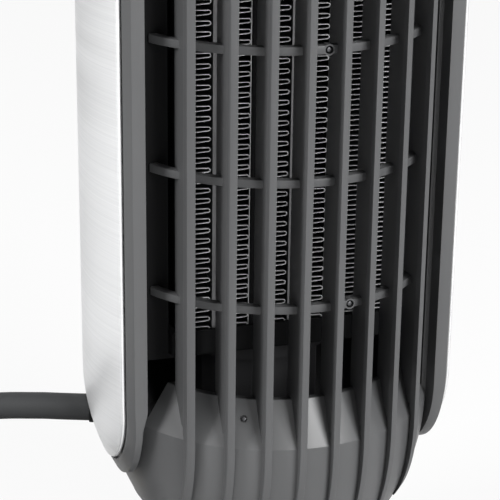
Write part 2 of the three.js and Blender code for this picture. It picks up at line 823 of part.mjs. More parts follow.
// Top cap with the controls
const capOuter = barrelRadius(bowlRadius, bowlArc, bowlArcStart, mirrored(capLow));
const capFloor = capTop - capWall;
const capProfile = [
  [0, capFloor],
  [capRim - capWall, capFloor],
  [capOuter - capWall, capLow],
  [capOuter, capLow],
  [capRim, capTop],
  [0, capTop],
];
const knobHoles = [-1, 1].map((side) =>
  post(side * knobX, knobY, knobShaftRadius + fitGap, capLow, capTop + cutOver, smallSegments),
);
const lensHole = post(0, lensY, lensRadius + fitGap, capLow, capTop + cutOver, smallSegments);
add("top_cap", cut(turned(capProfile, roundSegments), [...knobHoles, lensHole]), blackPlastic);

// Knob with gripping grooves, a pointer groove and its shaft.
function knob(x) {
  const low = capTop + fitGap;
  const high = low + knobHeight;
  const outline = [];
  for (let i = 0; i < 2 * knobGrips; i++) {
    const angle = (Math.PI * i) / knobGrips;
    const radius = i % 2 ? knobRadius - knobGripDepth : knobRadius;
    outline.push([x + radius * Math.cos(angle), knobY + radius * Math.sin(angle)]);
  }
  const pointer = box(
    x - pointerWidth / 2,
    x + pointerWidth / 2,
    knobY - knobRadius - cutOver,
    knobY - knobRadius + pointerLength,
    high - pointerDepth,
    high + cutOver,
  );
  const body = upright(outline, low, high).subtract(pointer);
  return body.add(post(x, knobY, knobShaftRadius, low - knobShaftLength, low + fitGap, smallSegments));
}

add("mode_knob", knob(-knobX), blackPlastic);
add("thermostat_knob", knob(knobX), blackPlastic);
const pilot = joined([
  post(0, lensY, lensRadius, capFloor, capTop + fitGap + lensHeight / 2, smallSegments),
  post(0, lensY, lensHead, capTop + fitGap, capTop + fitGap + lensHeight, smallSegments),
]);
add("pilot_lens", pilot, clearRed);
const switchTop = capFloor - fitGap;
const knobBore = (x) => post(x, knobY, knobShaftRadius + fitGap, switchTop - 2 * knobShaftLength / 2, switchTop + cutOver, smallSegments);
const switchHalf = switchSide / 2;
add(
  "mode_switch",
  box(-knobX - switchHalf, -knobX + switchHalf, knobY - switchHalf, knobY + switchHalf, switchTop - switchHeight, switchTop)
    .subtract(knobBore(-knobX)),
  darkPlastic,
);
add(
  "thermostat",
  post(knobX, knobY, thermostatRadius, switchTop - thermostatHeight - fitGap, switchTop, 2 * smallSegments).subtract(knobBore(knobX)),
  steel,
);

// Base: dish and neck under the body, flared cover, plate, feet and screws
function flare(inset, steps) {
  const points = [];
  for (let i = 0; i <= steps; i++) {
    const angle = ((Math.PI / 2) * i) / steps;
    points.push([
      baseRadius - inset - (baseRadius - neckRadius) * Math.cos(angle),
      neckLow - inset - (neckLow - baseShoulder) * Math.sin(angle),
    ]);
  }
  return points;
}

const dishRadius = barrelRadius(bowlRadius, bowlArc, bowlArcStart, dishTop);
const coverProfile = [
  [0, dishTop],
  [dishRadius, dishTop],
  [neckTopRadius, neckKink],
  ...flare(0, arcSteps + 1),
  [baseRadius, baseLow],
  [baseRadius - baseWall, baseLow],
  ...flare(baseWall, arcSteps - 1).reverse(),
  [neckTopRadius - baseWall, neckKink],
  [neckTopRadius - baseWall, dishTop - dishPlateThickness],
  [0, dishTop - dishPlateThickness],
];
const baseBossPlaces = ringPlaces(bossCount, bossRing, bossAngle);
const plateTop = basePlateLow + basePlateThickness;
const baseBosses = baseBossPlaces.map(([x, y]) => post(x, y, bossRadius, plateTop + fitGap, bossRoof, smallSegments));
const coverHoles = baseBossPlaces.map(([x, y]) =>
  post(x, y, bigScrewShank + fitGap, 0, plateTop + bigScrewLength - basePlateThickness, screwSegments),
);
add("base_cover", cut(joined([turned(coverProfile, roundSegments), ...baseBosses]), [...coverHoles, ...neckHoles]), blackPlastic);

const footPlaces = ringPlaces(footCount, footRing, footAngle);
const basePlate = cut(post(0, 0, basePlateRadius, basePlateLow, plateTop, roundSegments), [
  ...coverHoles,
  ...baseBossPlaces.map(([x, y]) => post(x, y, bigScrewHead + fitGap, 0, basePlateLow + bigScrewHeadHeight / 2, screwSegments)),
  ...footPlaces.map(([x, y]) => post(x, y, footRadius + fitGap, 0, basePlateLow + footSeat, smallSegments)),
]);
add("base_plate", basePlate, darkPlastic);
footPlaces.forEach(([x, y], i) => {
  add("foot_" + (i + 1), post(x, y, footRadius, 0, footHeight, smallSegments), rubber);
});

function bigScrew(x, y, headLow, shankHigh) {
  const head = post(x, y, bigScrewHead, headLow, headLow + bigScrewHeadHeight, screwSegments);
  return head.add(post(x, y, bigScrewShank, headLow, shankHigh, screwSegments));
}

const baseHeadLow = basePlateLow + bigScrewHeadHeight / 2 - fitGap - bigScrewHeadHeight;
baseBossPlaces.forEach(([x, y], i) => {
  add("base_screw_" + (i + 1), bigScrew(x, y, baseHeadLow, baseHeadLow + bigScrewLength), steel);
});
const neckHeadLow = dishTop - dishPlateThickness - fitGap - bigScrewHeadHeight;
neckScrewPlaces.forEach(([x, y], i) => {
  add("neck_screw_" + (i + 1), bigScrew(x, y, neckHeadLow, neckScrewHigh - 2 * fitGap), steel);
});
add(
  "tilt_switch",
  box(
    tiltX - tiltSize / 2,
    tiltX + tiltSize / 2,
    tiltY - tiltSize / 2,
    tiltY + tiltSize / 2,
    plateTop + fitGap,
    plateTop + fitGap + tiltHeight,
  ),
  darkPlastic,
);

// Cord gland through the skin and the housing
const glandBody = joined([
  rod(glandCentre.clone().addScaledVector(cordAim, -glandInside), cordAim, glandSleeve, glandInside, smallSegments),
  rod(glandCentre.clone().addScaledVector(cordAim, -glandFlangeThickness + fitGap), cordAim, glandFlange, glandFlangeThickness, smallSegments),
]);
add("cord_gland", glandBody, blackPlastic);

// Tube of even sides along a smooth curve.
function tube(points, steps, sides, radius) {
  const curve = new THREE.CatmullRomCurve3(points, false, "centripetal");
  const ring = new THREE.Shape(arc(0, 0, radius, 0, 2 * Math.PI, sides).slice(0, sides).map(([a, b]) => new THREE.Vector2(a, b)));
  return solid(new THREE.ExtrudeGeometry(ring, { steps, bevelEnabled: false, extrudePath: curve }));
}

// Coil on the floor: one run that spirals in and out and climbs a layer where the spiral reverses
const coilFloor = cordRadius + tieSheet + 2 * fitGap;
const layerTurns = (coilOuter - coilInner) / coilRadialPitch;
const coilTurns = layerTurns * coilLayers;

function coilPoint(turns) {
  const layer = turns / layerTurns;
  const whole = Math.floor(layer);
  const share = layer - whole;
  const inward = whole % 2 === 0;
  const radius = inward ? coilOuter - (coilOuter - coilInner) * share : coilInner + (coilOuter - coilInner) * share;
  const nearest = Math.round(layer);
  const away = (layer - nearest) * layerTurns;
  const climbing = nearest > 0 && nearest < coilLayers && Math.abs(away) < 1 / 4;
  const rise = climbing ? (1 + Math.sin(2 * Math.PI * away)) / 2 : away > 0 ? 1 : 0;
  const level = nearest > 0 && nearest < coilLayers ? nearest - 1 + rise : nearest === 0 ? 0 : coilLayers - 1;
  const angle = coilStart + 2 * Math.PI * turns;
  return new THREE.Vector3(
    coilCentre.x + radius * Math.cos(angle),
    coilCentre.y + radius * Math.sin(angle),
    coilFloor + coilStepHeight * level,
  );
}

const coilPoints = [];
const coilSteps = Math.round(coilTurns * coilLoopSteps);
for (let i = 0; i <= coilSteps; i++) coilPoints.push(coilPoint((coilTurns * i) / coilSteps));
const leadIn = coilPoints[0].clone().sub(coilPoints[1]).normalize();
const leadOut = coilPoints[coilSteps].clone().sub(coilPoints[coilSteps - 1]).normalize();
const straightEnd = 2 * cordRadius;
const coilRun = [
  coilPoints[0].clone().addScaledVector(leadIn, straightEnd),
  ...coilPoints,
  coilPoints[coilSteps].clone().addScaledVector(leadOut, straightEnd),
];

// Tube with its own rings of points, for a wound run whose rings must not twist.
function woundTube(points, sides, radius) {
  const places = [];
  const faces = [];
  const up = new THREE.Vector3(0, 0, 1);
  points.forEach((point, i) => {
    const before = points[Math.max(i - 1, 0)];
    const after = points[Math.min(i + 1, points.length - 1)];
    const along = after.clone().sub(before).normalize();
    const side = new THREE.Vector3().crossVectors(along, up).normalize();
    const rise = new THREE.Vector3().crossVectors(side, along);
    for (let k = 0; k < sides; k++) {
      const angle = (2 * Math.PI * k) / sides;
      const place = point.clone().addScaledVector(side, radius * Math.cos(angle)).addScaledVector(rise, radius * Math.sin(angle));
      places.push(place.x, place.y, place.z);
    }
    if (i === 0) return;
    for (let k = 0; k < sides; k++) {
      const a = (i - 1) * sides + k;
      const b = (i - 1) * sides + ((k + 1) % sides);
      faces.push(a, b, b + sides, a, b + sides, a + sides);
    }
  });
  const last = (points.length - 1) * sides;
  for (let k = 1; k < sides - 1; k++) {
    faces.push(0, k + 1, k, last, last + k, last + k + 1);
  }
  const geometry = new THREE.BufferGeometry();
  geometry.setAttribute("position", new THREE.Float32BufferAttribute(places, 3));
  geometry.setIndex(faces);
  return solid(geometry);
}

add("cord_coil", woundTube(coilRun, coilSides, cordRadius), rubber);

// Least gap of the coil to itself, between stretches that aren't neighbours along the run
const closeSteps = coilLoopSteps / 3;
let leastGap = Infinity;
coilRun.forEach((a, i) => {
  coilRun.slice(i + closeSteps).forEach((b) => {
    leastGap = Math.min(leastGap, a.distanceTo(b) - 2 * cordRadius);
  });
});
console.log("least gap of the coil to itself: " + leastGap.toFixed(2) + " mm");

// Free stretch of the cord from the gland down to the floor and into the coil
const cordStart = glandCentre.clone().addScaledVector(cordAim, 2 * fitGap);
const cordEnd = coilRun[0].clone().addScaledVector(leadIn, fitGap);
const cordRoute = [
  [-95, 20.6, 86],
  [-113, 23.4, 81],
  [-130, 24.2, 68],
  [-143, 23.7, 50],
  [-156, 22.5, 31],
  [-172, 20.6, 16],
  [-191, 19, 8.2],
];
const cordPath = [
  cordStart,
  cordStart.clone().addScaledVector(cordAim, 2 * cordRadius),
  cordStart.clone().addScaledVector(cordAim, 4 * cordRadius),
  ...cordRoute.map(([x, y, z]) => new THREE.Vector3(x, y, z)),
  cordEnd.clone().addScaledVector(leadIn, 2 * cordRadius),
  cordEnd.clone().addScaledVector(leadIn, cordRadius),
  cordEnd,
];
const cordSteps = 20;
add("cord", tube(cordPath, cordSteps, cordSides, cordRadius), rubber);
const cordCurve = new THREE.CatmullRomCurve3(cordPath, false, "centripetal");
const coilCurve = new THREE.CatmullRomCurve3(coilRun, false, "centripetal");

// Tail from the top of the coil down to the plug: distance along it and height of its middle
const tailStart = coilRun[coilRun.length - 1].clone().addScaledVector(leadOut, fitGap);
const tailRoute = [
  [9, 36.05],
  [18, 34.9],
  [29, 31.4],
  [40, 26.4],
  [51, 21.6],
  [62, 19.3],
  [72, 19.1],
];
const tailPath = [tailStart, ...tailRoute.map(([run, height]) => tailStart.clone().addScaledVector(leadOut, run).setZ(height))];
const tailSteps = 10;
add("cord_tail", tube(tailPath, tailSteps, cordSides, cordRadius), rubber);
const tailCurve = new THREE.CatmullRomCurve3(tailPath, false, "centripetal");
const cordLength = cordCurve.getLength() + coilCurve.getLength() + tailCurve.getLength();
console.log("cord length: " + cordLength.toFixed(0) + " mm");

// Tie round the coil
const tieAngle = coilStart + 2 * Math.PI * tieTurns;
const tieIn = coilInner - cordRadius - 2 * fitGap;
const tieOut = coilOuter + cordRadius + 2 * fitGap;
const tieLow = coilFloor - cordRadius - fitGap;
const tieHigh = coilFloor + (coilLayers - 1) * coilStepHeight + cordRadius + fitGap;
const tieShell = box(tieIn - tieSheet, tieOut + tieSheet, -tieWidth / 2, tieWidth / 2, tieLow - tieSheet, tieHigh + tieSheet);
const tieBand = tieShell.subtract(box(tieIn, tieOut, -tieWidth, tieWidth, tieLow, tieHigh));
const degrees = (tieAngle * 180) / Math.PI;
add("cord_tie", tieBand.rotate([0, 0, degrees]).translate([coilCentre.x, coilCentre.y, 0]), rubber);

// Plug at the free end of the coil
const plugStart = tailPath[tailPath.length - 1].clone().addScaledVector(leadOut, fitGap);
const plugNose = plugStart.clone().addScaledVector(leadOut, plugNeckLength);
const plugBody = joined([
  rod(plugStart, leadOut, plugNeck, plugNeckLength + fitGap, smallSegments),
  rod(plugNose, leadOut, plugRadius, plugLength, 2 * smallSegments),
]);
const plugSide = new THREE.Vector3().crossVectors(leadOut, new THREE.Vector3(0, 0, 1)).normalize();
const pinPlaces = [-1, 1].map((side) =>
  plugNose
    .clone()
    .addScaledVector(leadOut, plugLength - pinSeat)
    .addScaledVector(plugSide, (side * pinSpacing) / 2),
);
const pinHoles = pinPlaces.map((place) => rod(place.clone().addScaledVector(leadOut, -fitGap), leadOut, pinRadius + fitGap, 2 * pinLength, smallSegments));
add("plug_body", cut(plugBody, pinHoles), rubber);
pinPlaces.forEach((place, i) => {
  add("plug_pin_" + (i + 1), rod(place, leadOut, pinRadius, pinLength + pinSeat, smallSegments), brass);
});

export default part;
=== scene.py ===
import json
import math

import bmesh
import bpy
from mathutils import Matrix, Vector


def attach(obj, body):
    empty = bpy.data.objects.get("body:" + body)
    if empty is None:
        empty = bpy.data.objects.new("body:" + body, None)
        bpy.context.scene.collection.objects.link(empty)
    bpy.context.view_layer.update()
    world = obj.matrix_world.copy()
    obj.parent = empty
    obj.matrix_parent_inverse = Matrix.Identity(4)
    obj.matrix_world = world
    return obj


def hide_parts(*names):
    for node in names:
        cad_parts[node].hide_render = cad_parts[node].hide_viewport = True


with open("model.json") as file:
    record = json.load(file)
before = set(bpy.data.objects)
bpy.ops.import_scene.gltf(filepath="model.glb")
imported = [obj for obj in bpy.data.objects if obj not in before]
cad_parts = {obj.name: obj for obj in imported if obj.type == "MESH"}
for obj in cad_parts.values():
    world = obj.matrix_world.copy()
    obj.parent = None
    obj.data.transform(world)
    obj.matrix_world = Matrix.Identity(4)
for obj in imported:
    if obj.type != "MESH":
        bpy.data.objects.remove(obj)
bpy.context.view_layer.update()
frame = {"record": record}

# Shapes are written in millimetres: x to the right, -y to the front, z up from the floor.
MM = 0.001
BODY = "heater"

# ---------------------------------------------------------------- camera
IMAGE = 500
FOCAL_PX = 1799.76
AXIS_PX = (188.78, 245.88)
SENSOR = 36
CAM_PLACE = (-0.1780, -0.5408, 0.3501)
CAM_TILT, CAM_HEADING = 70, -15.57

cam_data = bpy.data.cameras.new("camera")
cam = bpy.data.objects.new("camera", cam_data)
bpy.context.scene.collection.objects.link(cam)
cam_data.sensor_width = SENSOR
cam_data.lens = FOCAL_PX * SENSOR / IMAGE
cam_data.shift_x = (IMAGE / 2 - AXIS_PX[0]) / IMAGE
cam_data.shift_y = (AXIS_PX[1] - IMAGE / 2) / IMAGE
cam_data.clip_start = 0.01
cam.location = CAM_PLACE
cam.rotation_euler = (math.radians(CAM_TILT), 0, math.radians(CAM_HEADING))
bpy.context.scene.camera = cam
bpy.context.scene.view_settings.view_transform = "Standard"


# ---------------------------------------------------------------- materials
class Nodes:
    """A material's node tree with short calls."""

    def __init__(self, name):
        self.mat = bpy.data.materials.new(name)
        self.mat.use_nodes = True
        self.tree = self.mat.node_tree
        self.bsdf = self.tree.nodes["Principled BSDF"]

    def add(self, kind):
        return self.tree.nodes.new(kind)

    def link(self, a, b):
        self.tree.links.new(a, b)

    def coords(self, scale=(1, 1, 1)):
        coord = self.add("ShaderNodeTexCoord")
        mapping = self.add("ShaderNodeMapping")
        mapping.inputs["Scale"].default_value = scale
        self.link(coord.outputs["Object"], mapping.inputs["Vector"])
        return mapping.outputs["Vector"]

    def noise(self, vector, scale, detail=3, rough=0.5):
        node = self.add("ShaderNodeTexNoise")
        node.inputs["Scale"].default_value = scale
        node.inputs["Detail"].default_value = detail
        node.inputs["Roughness"].default_value = rough
        self.link(vector, node.inputs["Vector"])
        return node.outputs["Fac"]

    def remap(self, value, low, high, start=0.0, end=1.0):
        """Takes the range start to end to the range low to high."""
        node = self.add("ShaderNodeMapRange")
        for key, v in (("From Min", start), ("From Max", end), ("To Min", low), ("To Max", high)):
            node.inputs[key].default_value = v
        self.link(value, node.inputs["Value"])
        return node.outputs["Result"]

    def mix(self, fac, a, b):
        """Blends two colours, each a tuple or a socket, by a socket."""
        node = self.add("ShaderNodeMix")
        node.data_type = "RGBA"
        self.link(fac, node.inputs[0])
        for socket, value in ((node.inputs[6], a), (node.inputs[7], b)):
            if isinstance(value, tuple):
                socket.default_value = (*value, 1)
            else:
                self.link(value, socket)
        return node.outputs[2]

    def bump(self, height, strength, distance):
        node = self.add("ShaderNodeBump")
        node.inputs["Strength"].default_value = strength
        node.inputs["Distance"].default_value = distance
        self.link(height, node.inputs["Height"])
        self.link(node.outputs["Normal"], self.bsdf.inputs["Normal"])


CLOUD_SCALE, CLOUD_ROUGH = 22, (-0.05, 0.06)
GRAIN_STRENGTH = 0.35


def plastic(name, colour, rough, grain=0.00006, coarse=2600.0, spread=0.06, specular=0.5):
    """Moulded plastic: a fine spark-eroded grain, and faint flow clouds in its colour and roughness."""
    n = Nodes(name)
    vector = n.coords()
    fine = n.noise(vector, coarse, detail=2, rough=0.6)
    cloud = n.noise(vector, CLOUD_SCALE, rough=0.55)
    dark = tuple(c * (1 - spread) for c in colour)
    light = tuple(c * (1 + spread) for c in colour)
    n.link(n.mix(cloud, dark, light), n.bsdf.inputs["Base Color"])
    n.link(n.remap(cloud, rough + CLOUD_ROUGH[0], rough + CLOUD_ROUGH[1]), n.bsdf.inputs["Roughness"])
    n.bsdf.inputs["Specular IOR Level"].default_value = specular
    n.bump(fine, GRAIN_STRENGTH, grain)
    return n.mat


STREAK_SCALE, SLOW_SCALE = (6, 6, 2400), (9, 9, 60)
SKIN_DARK, SKIN_LIGHT = (0.79, 0.795, 0.802), (0.87, 0.875, 0.88)


def brushed_skin(name):
    """Brushed aluminium: long fine scratches round the body, broken by a slow cloud."""
    n = Nodes(name)
    streak = n.noise(n.coords(STREAK_SCALE), 1.0, detail=4, rough=0.6)
    slow = n.noise(n.coords(SLOW_SCALE), 1.0)
    blend = n.remap(streak, 0.0, 1.0, start=0.3, end=0.7)
    n.link(n.mix(blend, SKIN_DARK, SKIN_LIGHT), n.bsdf.inputs["Base Color"])
    n.link(n.remap(slow, 0.36, 0.5, start=0.3, end=0.7), n.bsdf.inputs["Roughness"])
    n.bsdf.inputs["Metallic"].default_value = 0.85
    n.bump(streak, 0.12, 0.00002)
    return n.mat


# The painted shade on the fins deepens between these depths behind their front, in metres.
FIN_EDGE = (0.0001, 0.0010)
FIN_STAIN_SCALE = 180
# The last colour is the painted shade deep in the core; the first two are the metal's stains.
FIN_DULL, FIN_BRIGHT, FIN_PAINTED_SHADE = (0.66, 0.66, 0.67), (0.88, 0.88, 0.89), (0.006, 0.006, 0.0065)


def fin_metal(name, front_y):
    """Rolled aluminium with faint stains, bright on the front edge of each fold and darkened further in by
    painted shade.
    """
    n = Nodes(name)
    coord = n.add("ShaderNodeTexCoord")
    split = n.add("ShaderNodeSeparateXYZ")
    n.link(coord.outputs["Object"], split.inputs["Vector"])
    # painted shade: the fins' colour is mixed towards near black between these two depths behind the front
    edge, shade_full = (front_y + y for y in FIN_EDGE)
    depth = n.remap(split.outputs["Y"], 0.0, 1.0, start=edge, end=shade_full)
    stain = n.noise(n.coords(), FIN_STAIN_SCALE, rough=0.6)
    bright = n.mix(stain, FIN_DULL, FIN_BRIGHT)
    n.link(n.mix(depth, bright, FIN_PAINTED_SHADE), n.bsdf.inputs["Base Color"])
    n.link(n.remap(stain, 0.32, 0.5), n.bsdf.inputs["Roughness"])
    n.bsdf.inputs["Metallic"].default_value = 0.45
    n.bump(stain, 0.1, 0.00005)
    return n.mat


STAIN_SCALE, STAIN_DARK, STAIN_ROUGH = 320, 0.86, (-0.06, 0.08)


def metal(name, colour, rough):
    """Plain metal with a faint stain in its colour and roughness."""
    n = Nodes(name)
    stain = n.noise(n.coords(), STAIN_SCALE, rough=0.6)
    n.link(n.mix(stain, tuple(c * STAIN_DARK for c in colour), colour), n.bsdf.inputs["Base Color"])
    n.link(n.remap(stain, rough + STAIN_ROUGH[0], rough + STAIN_ROUGH[1]), n.bsdf.inputs["Roughness"])
    n.bsdf.inputs["Metallic"].default_value = 1.0
    n.bump(stain, 0.08, 0.00004)
    return n.mat


CORE_FRONT = -24.2
BLACK = plastic("black_plastic", (0.082, 0.083, 0.085), 0.34, specular=0.36)
GRILLE = plastic("grille_plastic", (0.082, 0.083, 0.085), 0.4, specular=0.2)
DARK = plastic("dark_plastic", (0.006, 0.0062, 0.0066), 0.6, spread=0.15, specular=0.1)
RUBBER = plastic("rubber", (0.026, 0.027, 0.028), 0.6, grain=0.00008, coarse=1800, spread=0.1, specular=0.25)
SKIN = brushed_skin("silver_skin")
FINS = fin_metal("fin_aluminium", CORE_FRONT * MM)
MOTOR = plastic("motor_case", (0.04, 0.04, 0.042), 0.45, grain=0.00003, spread=0.12, specular=0.35)
SCREW = metal("screw_steel", (0.10, 0.10, 0.105), 0.5)
BAR_METAL = metal("heater_bar", (0.25, 0.25, 0.255), 0.5)
STEEL = metal("steel", (0.56, 0.57, 0.58), 0.32)
BRASS = metal("brass", (0.80, 0.62, 0.30), 0.26)
LENS = plastic("clear_red", (0.42, 0.045, 0.025), 0.16, grain=0.00001, spread=0.04)
LENS.node_tree.nodes["Principled BSDF"].inputs["Transmission Weight"].default_value = 0.5
MARK = plastic("white_mark", (0.72, 0.72, 0.71), 0.5, grain=0.00002, spread=0.02)


# ---------------------------------------------------------------- mesh helpers
MID = 243.2
ON_AXIS = 1e-6


def up(z):
    """The height that mirrors z about the middle of the grille."""
    return 2 * MID - z


def link(name, mesh):
    obj = bpy.data.objects.new(name, mesh)
    bpy.context.scene.collection.objects.link(obj)
    return obj


def from_points(name, verts, faces):
    mesh = bpy.data.meshes.new(name)
    mesh.from_pydata([[c * MM for c in v] for v in verts], [], faces)
    bm = bmesh.new()
    bm.from_mesh(mesh)
    bmesh.ops.recalc_face_normals(bm, faces=bm.faces)
    bm.to_mesh(mesh)
    bm.free()
    return link(name, mesh)


def lathe(name, profile, segments=160, closed=True, centre=(0, 0)):
    """Turns [radius, height] points round an upright axis; a point on the axis becomes a pole."""
    verts, faces, rings = [], [], []
    for radius, z in profile:
        if radius < ON_AXIS:
            rings.append([len(verts)] * segments)
            verts.append((centre[0], centre[1], z))
            continue
        ring = []
        for k in range(segments):
            a = 2 * math.pi * k / segments
            ring.append(len(verts))
            verts.append((centre[0] + radius * math.cos(a), centre[1] + radius * math.sin(a), z))
        rings.append(ring)
    pairs = list(zip(rings, rings[1:]))
    if closed:
        pairs.append((rings[-1], rings[0]))
    for low, high in pairs:
        for k in range(segments):
            m = (k + 1) % segments
            face = list(dict.fromkeys([low[k], low[m], high[m], high[k]]))
            if len(face) > 2:
                faces.append(face)
    return from_points(name, verts, faces)


def prism(name, outline, axis, low, high):
    """A closed outline stretched along one axis. The outline holds the two other coordinates in order."""
    verts = []
    for level in (low, high):
        for a, b in outline:
            verts.append({"x": (level, a, b), "y": (a, level, b), "z": (a, b, level)}[axis])
    n = len(outline)
    faces = [list(range(n)), list(range(2 * n - 1, n - 1, -1))]
    faces += [[i, (i + 1) % n, n + (i + 1) % n, n + i] for i in range(n)]
    return from_points(name, verts, faces)


def block(x0, x1, y0, y1, z0, z1):
    return prism("cutter", [(x0, y0), (x1, y0), (x1, y1), (x0, y1)], "z", z0, z1)


def turned_to(aim):
    """Matrix that turns the upright axis to the aim."""
    return Vector((0, 0, 1)).rotation_difference(Vector(aim)).to_matrix().to_4x4()


def rod(name, start, aim, radius, length, segments=48):
    obj = lathe(name, [(0, 0), (radius, 0), (radius, length), (0, length)], segments, closed=False)
    obj.data.transform(Matrix.Translation(Vector(start) * MM) @ turned_to(aim))
    return obj


def applied(obj):
    """Turns an object's modifiers into its mesh."""
    depsgraph = bpy.context.evaluated_depsgraph_get()
    mesh = bpy.data.meshes.new_from_object(obj.evaluated_get(depsgraph))
    obj.modifiers.clear()
    obj.data = mesh
    return obj


def boolean(obj, cutter, kind):
    modifier = obj.modifiers.new("boolean", "BOOLEAN")
    modifier.operation = kind
    modifier.object = cutter
    modifier.solver = "EXACT"
    applied(obj)
    bpy.data.objects.remove(cutter)
    return obj


def cut(obj, *cutters):
    for cutter in cutters:
        boolean(obj, cutter, "DIFFERENCE")
    return obj


def meet(obj, other):
    return boolean(obj, other, "INTERSECT")


def gather(name, *objs):
    """Puts several meshes in one object without welding them."""
    bm = bmesh.new()
    for obj in objs:
        bm.from_mesh(obj.data)
    mesh = bpy.data.meshes.new(name)
    bm.to_mesh(mesh)
    bm.free()
    for obj in objs:
        bpy.data.objects.remove(obj)
    return link(name, mesh)


def bevel(obj, width, segments=2, angle=35):
    modifier = obj.modifiers.new("bevel", "BEVEL")
    modifier.width = width * MM
    modifier.segments = segments
    modifier.limit_method = "ANGLE"
    modifier.angle_limit = math.radians(angle)
    modifier.use_clamp_overlap = True
    return applied(obj)


def smooth(obj, angle):
    mesh = obj.data
    mesh.polygons.foreach_set("use_smooth", [True] * len(mesh.polygons))
    mesh.set_sharp_from_angle(angle=math.radians(angle))


def paint(obj, material):
    obj.data.materials.clear()
    obj.data.materials.append(material)


def finish_piece(obj, material, replaced=(), body=BODY, angle=32):
    smooth(obj, angle)
    paint(obj, material)
    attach(obj, body)
    if replaced:
        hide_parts(*replaced)


def arc(ca, cb, radius, start, end, steps):
    points = []
    for i in range(steps + 1):
        a = start + (end - start) * i / steps
        points.append((ca + radius * math.cos(a), cb + radius * math.sin(a)))
    return points


# ---------------------------------------------------------------- the body's form
FIT = 0.3
SKIN_GAP = 0.8
FAR, BELOW = 200, -1
SKIN_R, SKIN_T = 62.7, 1.5
BARREL_ARC, BARREL_START, BARREL_LOW, BARREL_STEPS = 70.3, 102.7, 52, 18
SKIN_FRONT, SKIN_LOW, SKIN_CORNER = -26.3, 75, 26
RIM_FRONT, RIM_LOW, RIM_CORNER, RIM_SINK = -30.9, 69, 31, 0.7
STEP_X = 49.6
NOTCH_X, NOTCH_LOW, NOTCH_HIGH = 51.2, 94.2, 101.5
FLANGE_X, FLANGE_T, FLANGE_FRONT, FLANGE_CORNER = 48, 1.6, -24.1, 24.2
CORNER_STEPS = 24


def barrel_radius(radius, bend, start, z):
    """Radius at a height: straight in the middle, bent in along an arc past the start of each end."""
    drop = max(start - min(z, up(z)), 0)
    return radius - bend + math.sqrt(bend**2 - drop**2)


def barrel_heights(start, low):
    half = [low + (start - low) * i / BARREL_STEPS for i in range(BARREL_STEPS + 1)]
    return half + [up(z) for z in reversed(half)]


def barrel_side(inset):
    heights = barrel_heights(BARREL_START, BARREL_LOW)
    return [(barrel_radius(SKIN_R, BARREL_ARC, BARREL_START, z) - inset, z) for z in heights]


def barrel_ring(inset):
    """Closed shell of the barrel between its outside and an inset."""
    return lathe("barrel", barrel_side(0) + barrel_side(inset)[::-1])


def barrel_solid(inset):
    return lathe("barrel", [(0, BARREL_LOW)] + barrel_side(inset) + [(0, up(BARREL_LOW))], closed=False)


def side_outline(front, low, corner, inset=0.0):
    """Outline seen from the side: a straight front with round corners, open to the back."""
    nose, foot, bend = front + inset, low + inset, corner - inset
    curve = arc(nose + bend, foot + bend, bend, 1.5 * math.pi, math.pi, CORNER_STEPS)
    return [(FAR, foot)] + curve + [(y, up(z)) for y, z in reversed(curve)] + [(FAR, up(foot))]


def side_block(front, low, corner, inset=0.0):
    return prism("block", side_outline(front, low, corner, inset), "x", -FAR, FAR)


def between_walls(inset):
    """Room between the rim's two walls, wider on the left where the ledges end."""
    low = [(inset - NOTCH_X, BELOW), (inset - NOTCH_X, NOTCH_LOW), (inset - STEP_X, NOTCH_HIGH)]
    left = low + [(x, up(z)) for x, z in reversed(low)]
    right = [(STEP_X - inset, up(BELOW)), (STEP_X - inset, BELOW)]
    return prism("room", left + right, "y", -FAR, FAR)


def lofted(sections):
    """Solid through side outlines of equal length, each at its own x."""
    n = len(sections[0][1])
    verts = [(x, y, z) for x, outline in sections for y, z in outline]
    faces = [list(range(n)), list(range((len(sections) - 1) * n, len(sections) * n))]
    for i in range(len(sections) - 1):
        a, b = i * n, (i + 1) * n
        faces += [[a + k, a + (k + 1) % n, b + (k + 1) % n, b + k] for k in range(n)]
    return from_points("loft", verts, faces)


GLAND = Vector((-58.6, 10.5, 86.1))
AIM = Vector((-0.96, 0.275, 0.03)).normalized()
GLAND_BODY, GLAND_RING = 4.8, 5.2
GLAND_REACH = 20
INLET_X, INLET_LOW = 33, 122


def gland_hole(radius):
    return rod("hole", GLAND - AIM * GLAND_REACH, AIM, radius, 2 * GLAND_REACH)


def inlet_room():
    return block(-INLET_X, INLET_X, 0, FAR, INLET_LOW, up(INLET_LOW))


ROLL = SKIN_T / 2
BEAD_SIDES, BEAD_PIECE, BACK_PIECES = 10, 4, 60


def bead(name, points, radius):
    """Closed round bead along a loop of points, all beside the upright axis."""
    verts, n, sides = [], len(points), BEAD_SIDES
    for i, p in enumerate(points):
        along = (points[(i + 1) % n] - points[i - 1]).normalized()
        out = Vector((p.x, p.y, 0)).normalized()
        out = (out - along * out.dot(along)).normalized()
        across = along.cross(out)
        for k in range(sides):
            a = 2 * math.pi * k / sides
            verts.append(p + out * (radius * math.cos(a)) + across * (radius * math.sin(a)))
    faces = []
    for i in range(n):
        a, b = i * sides, (i + 1) % n * sides
        for k in range(sides):
            m = (k + 1) % sides
            faces.append([a + k, a + m, b + m, b + k])
    return from_points(name, verts, faces)


def turn_of(p):
    """Angle of a point round the axis, counted so that it grows past the back without a jump."""
    a = math.atan2(p.y, p.x)
    return a + 2 * math.pi if a < -math.pi / 2 else a


def round_back(a, b):
    """Points between two ends of the skin at one height, round the back."""
    r = math.hypot(a.x, a.y)
    start, end = turn_of(a), turn_of(b)
    points = []
    for k in range(1, BACK_PIECES):
        turn = start + (end - start) * k / BACK_PIECES
        points.append(Vector((r * math.cos(turn), r * math.sin(turn), a.z)))
    return points


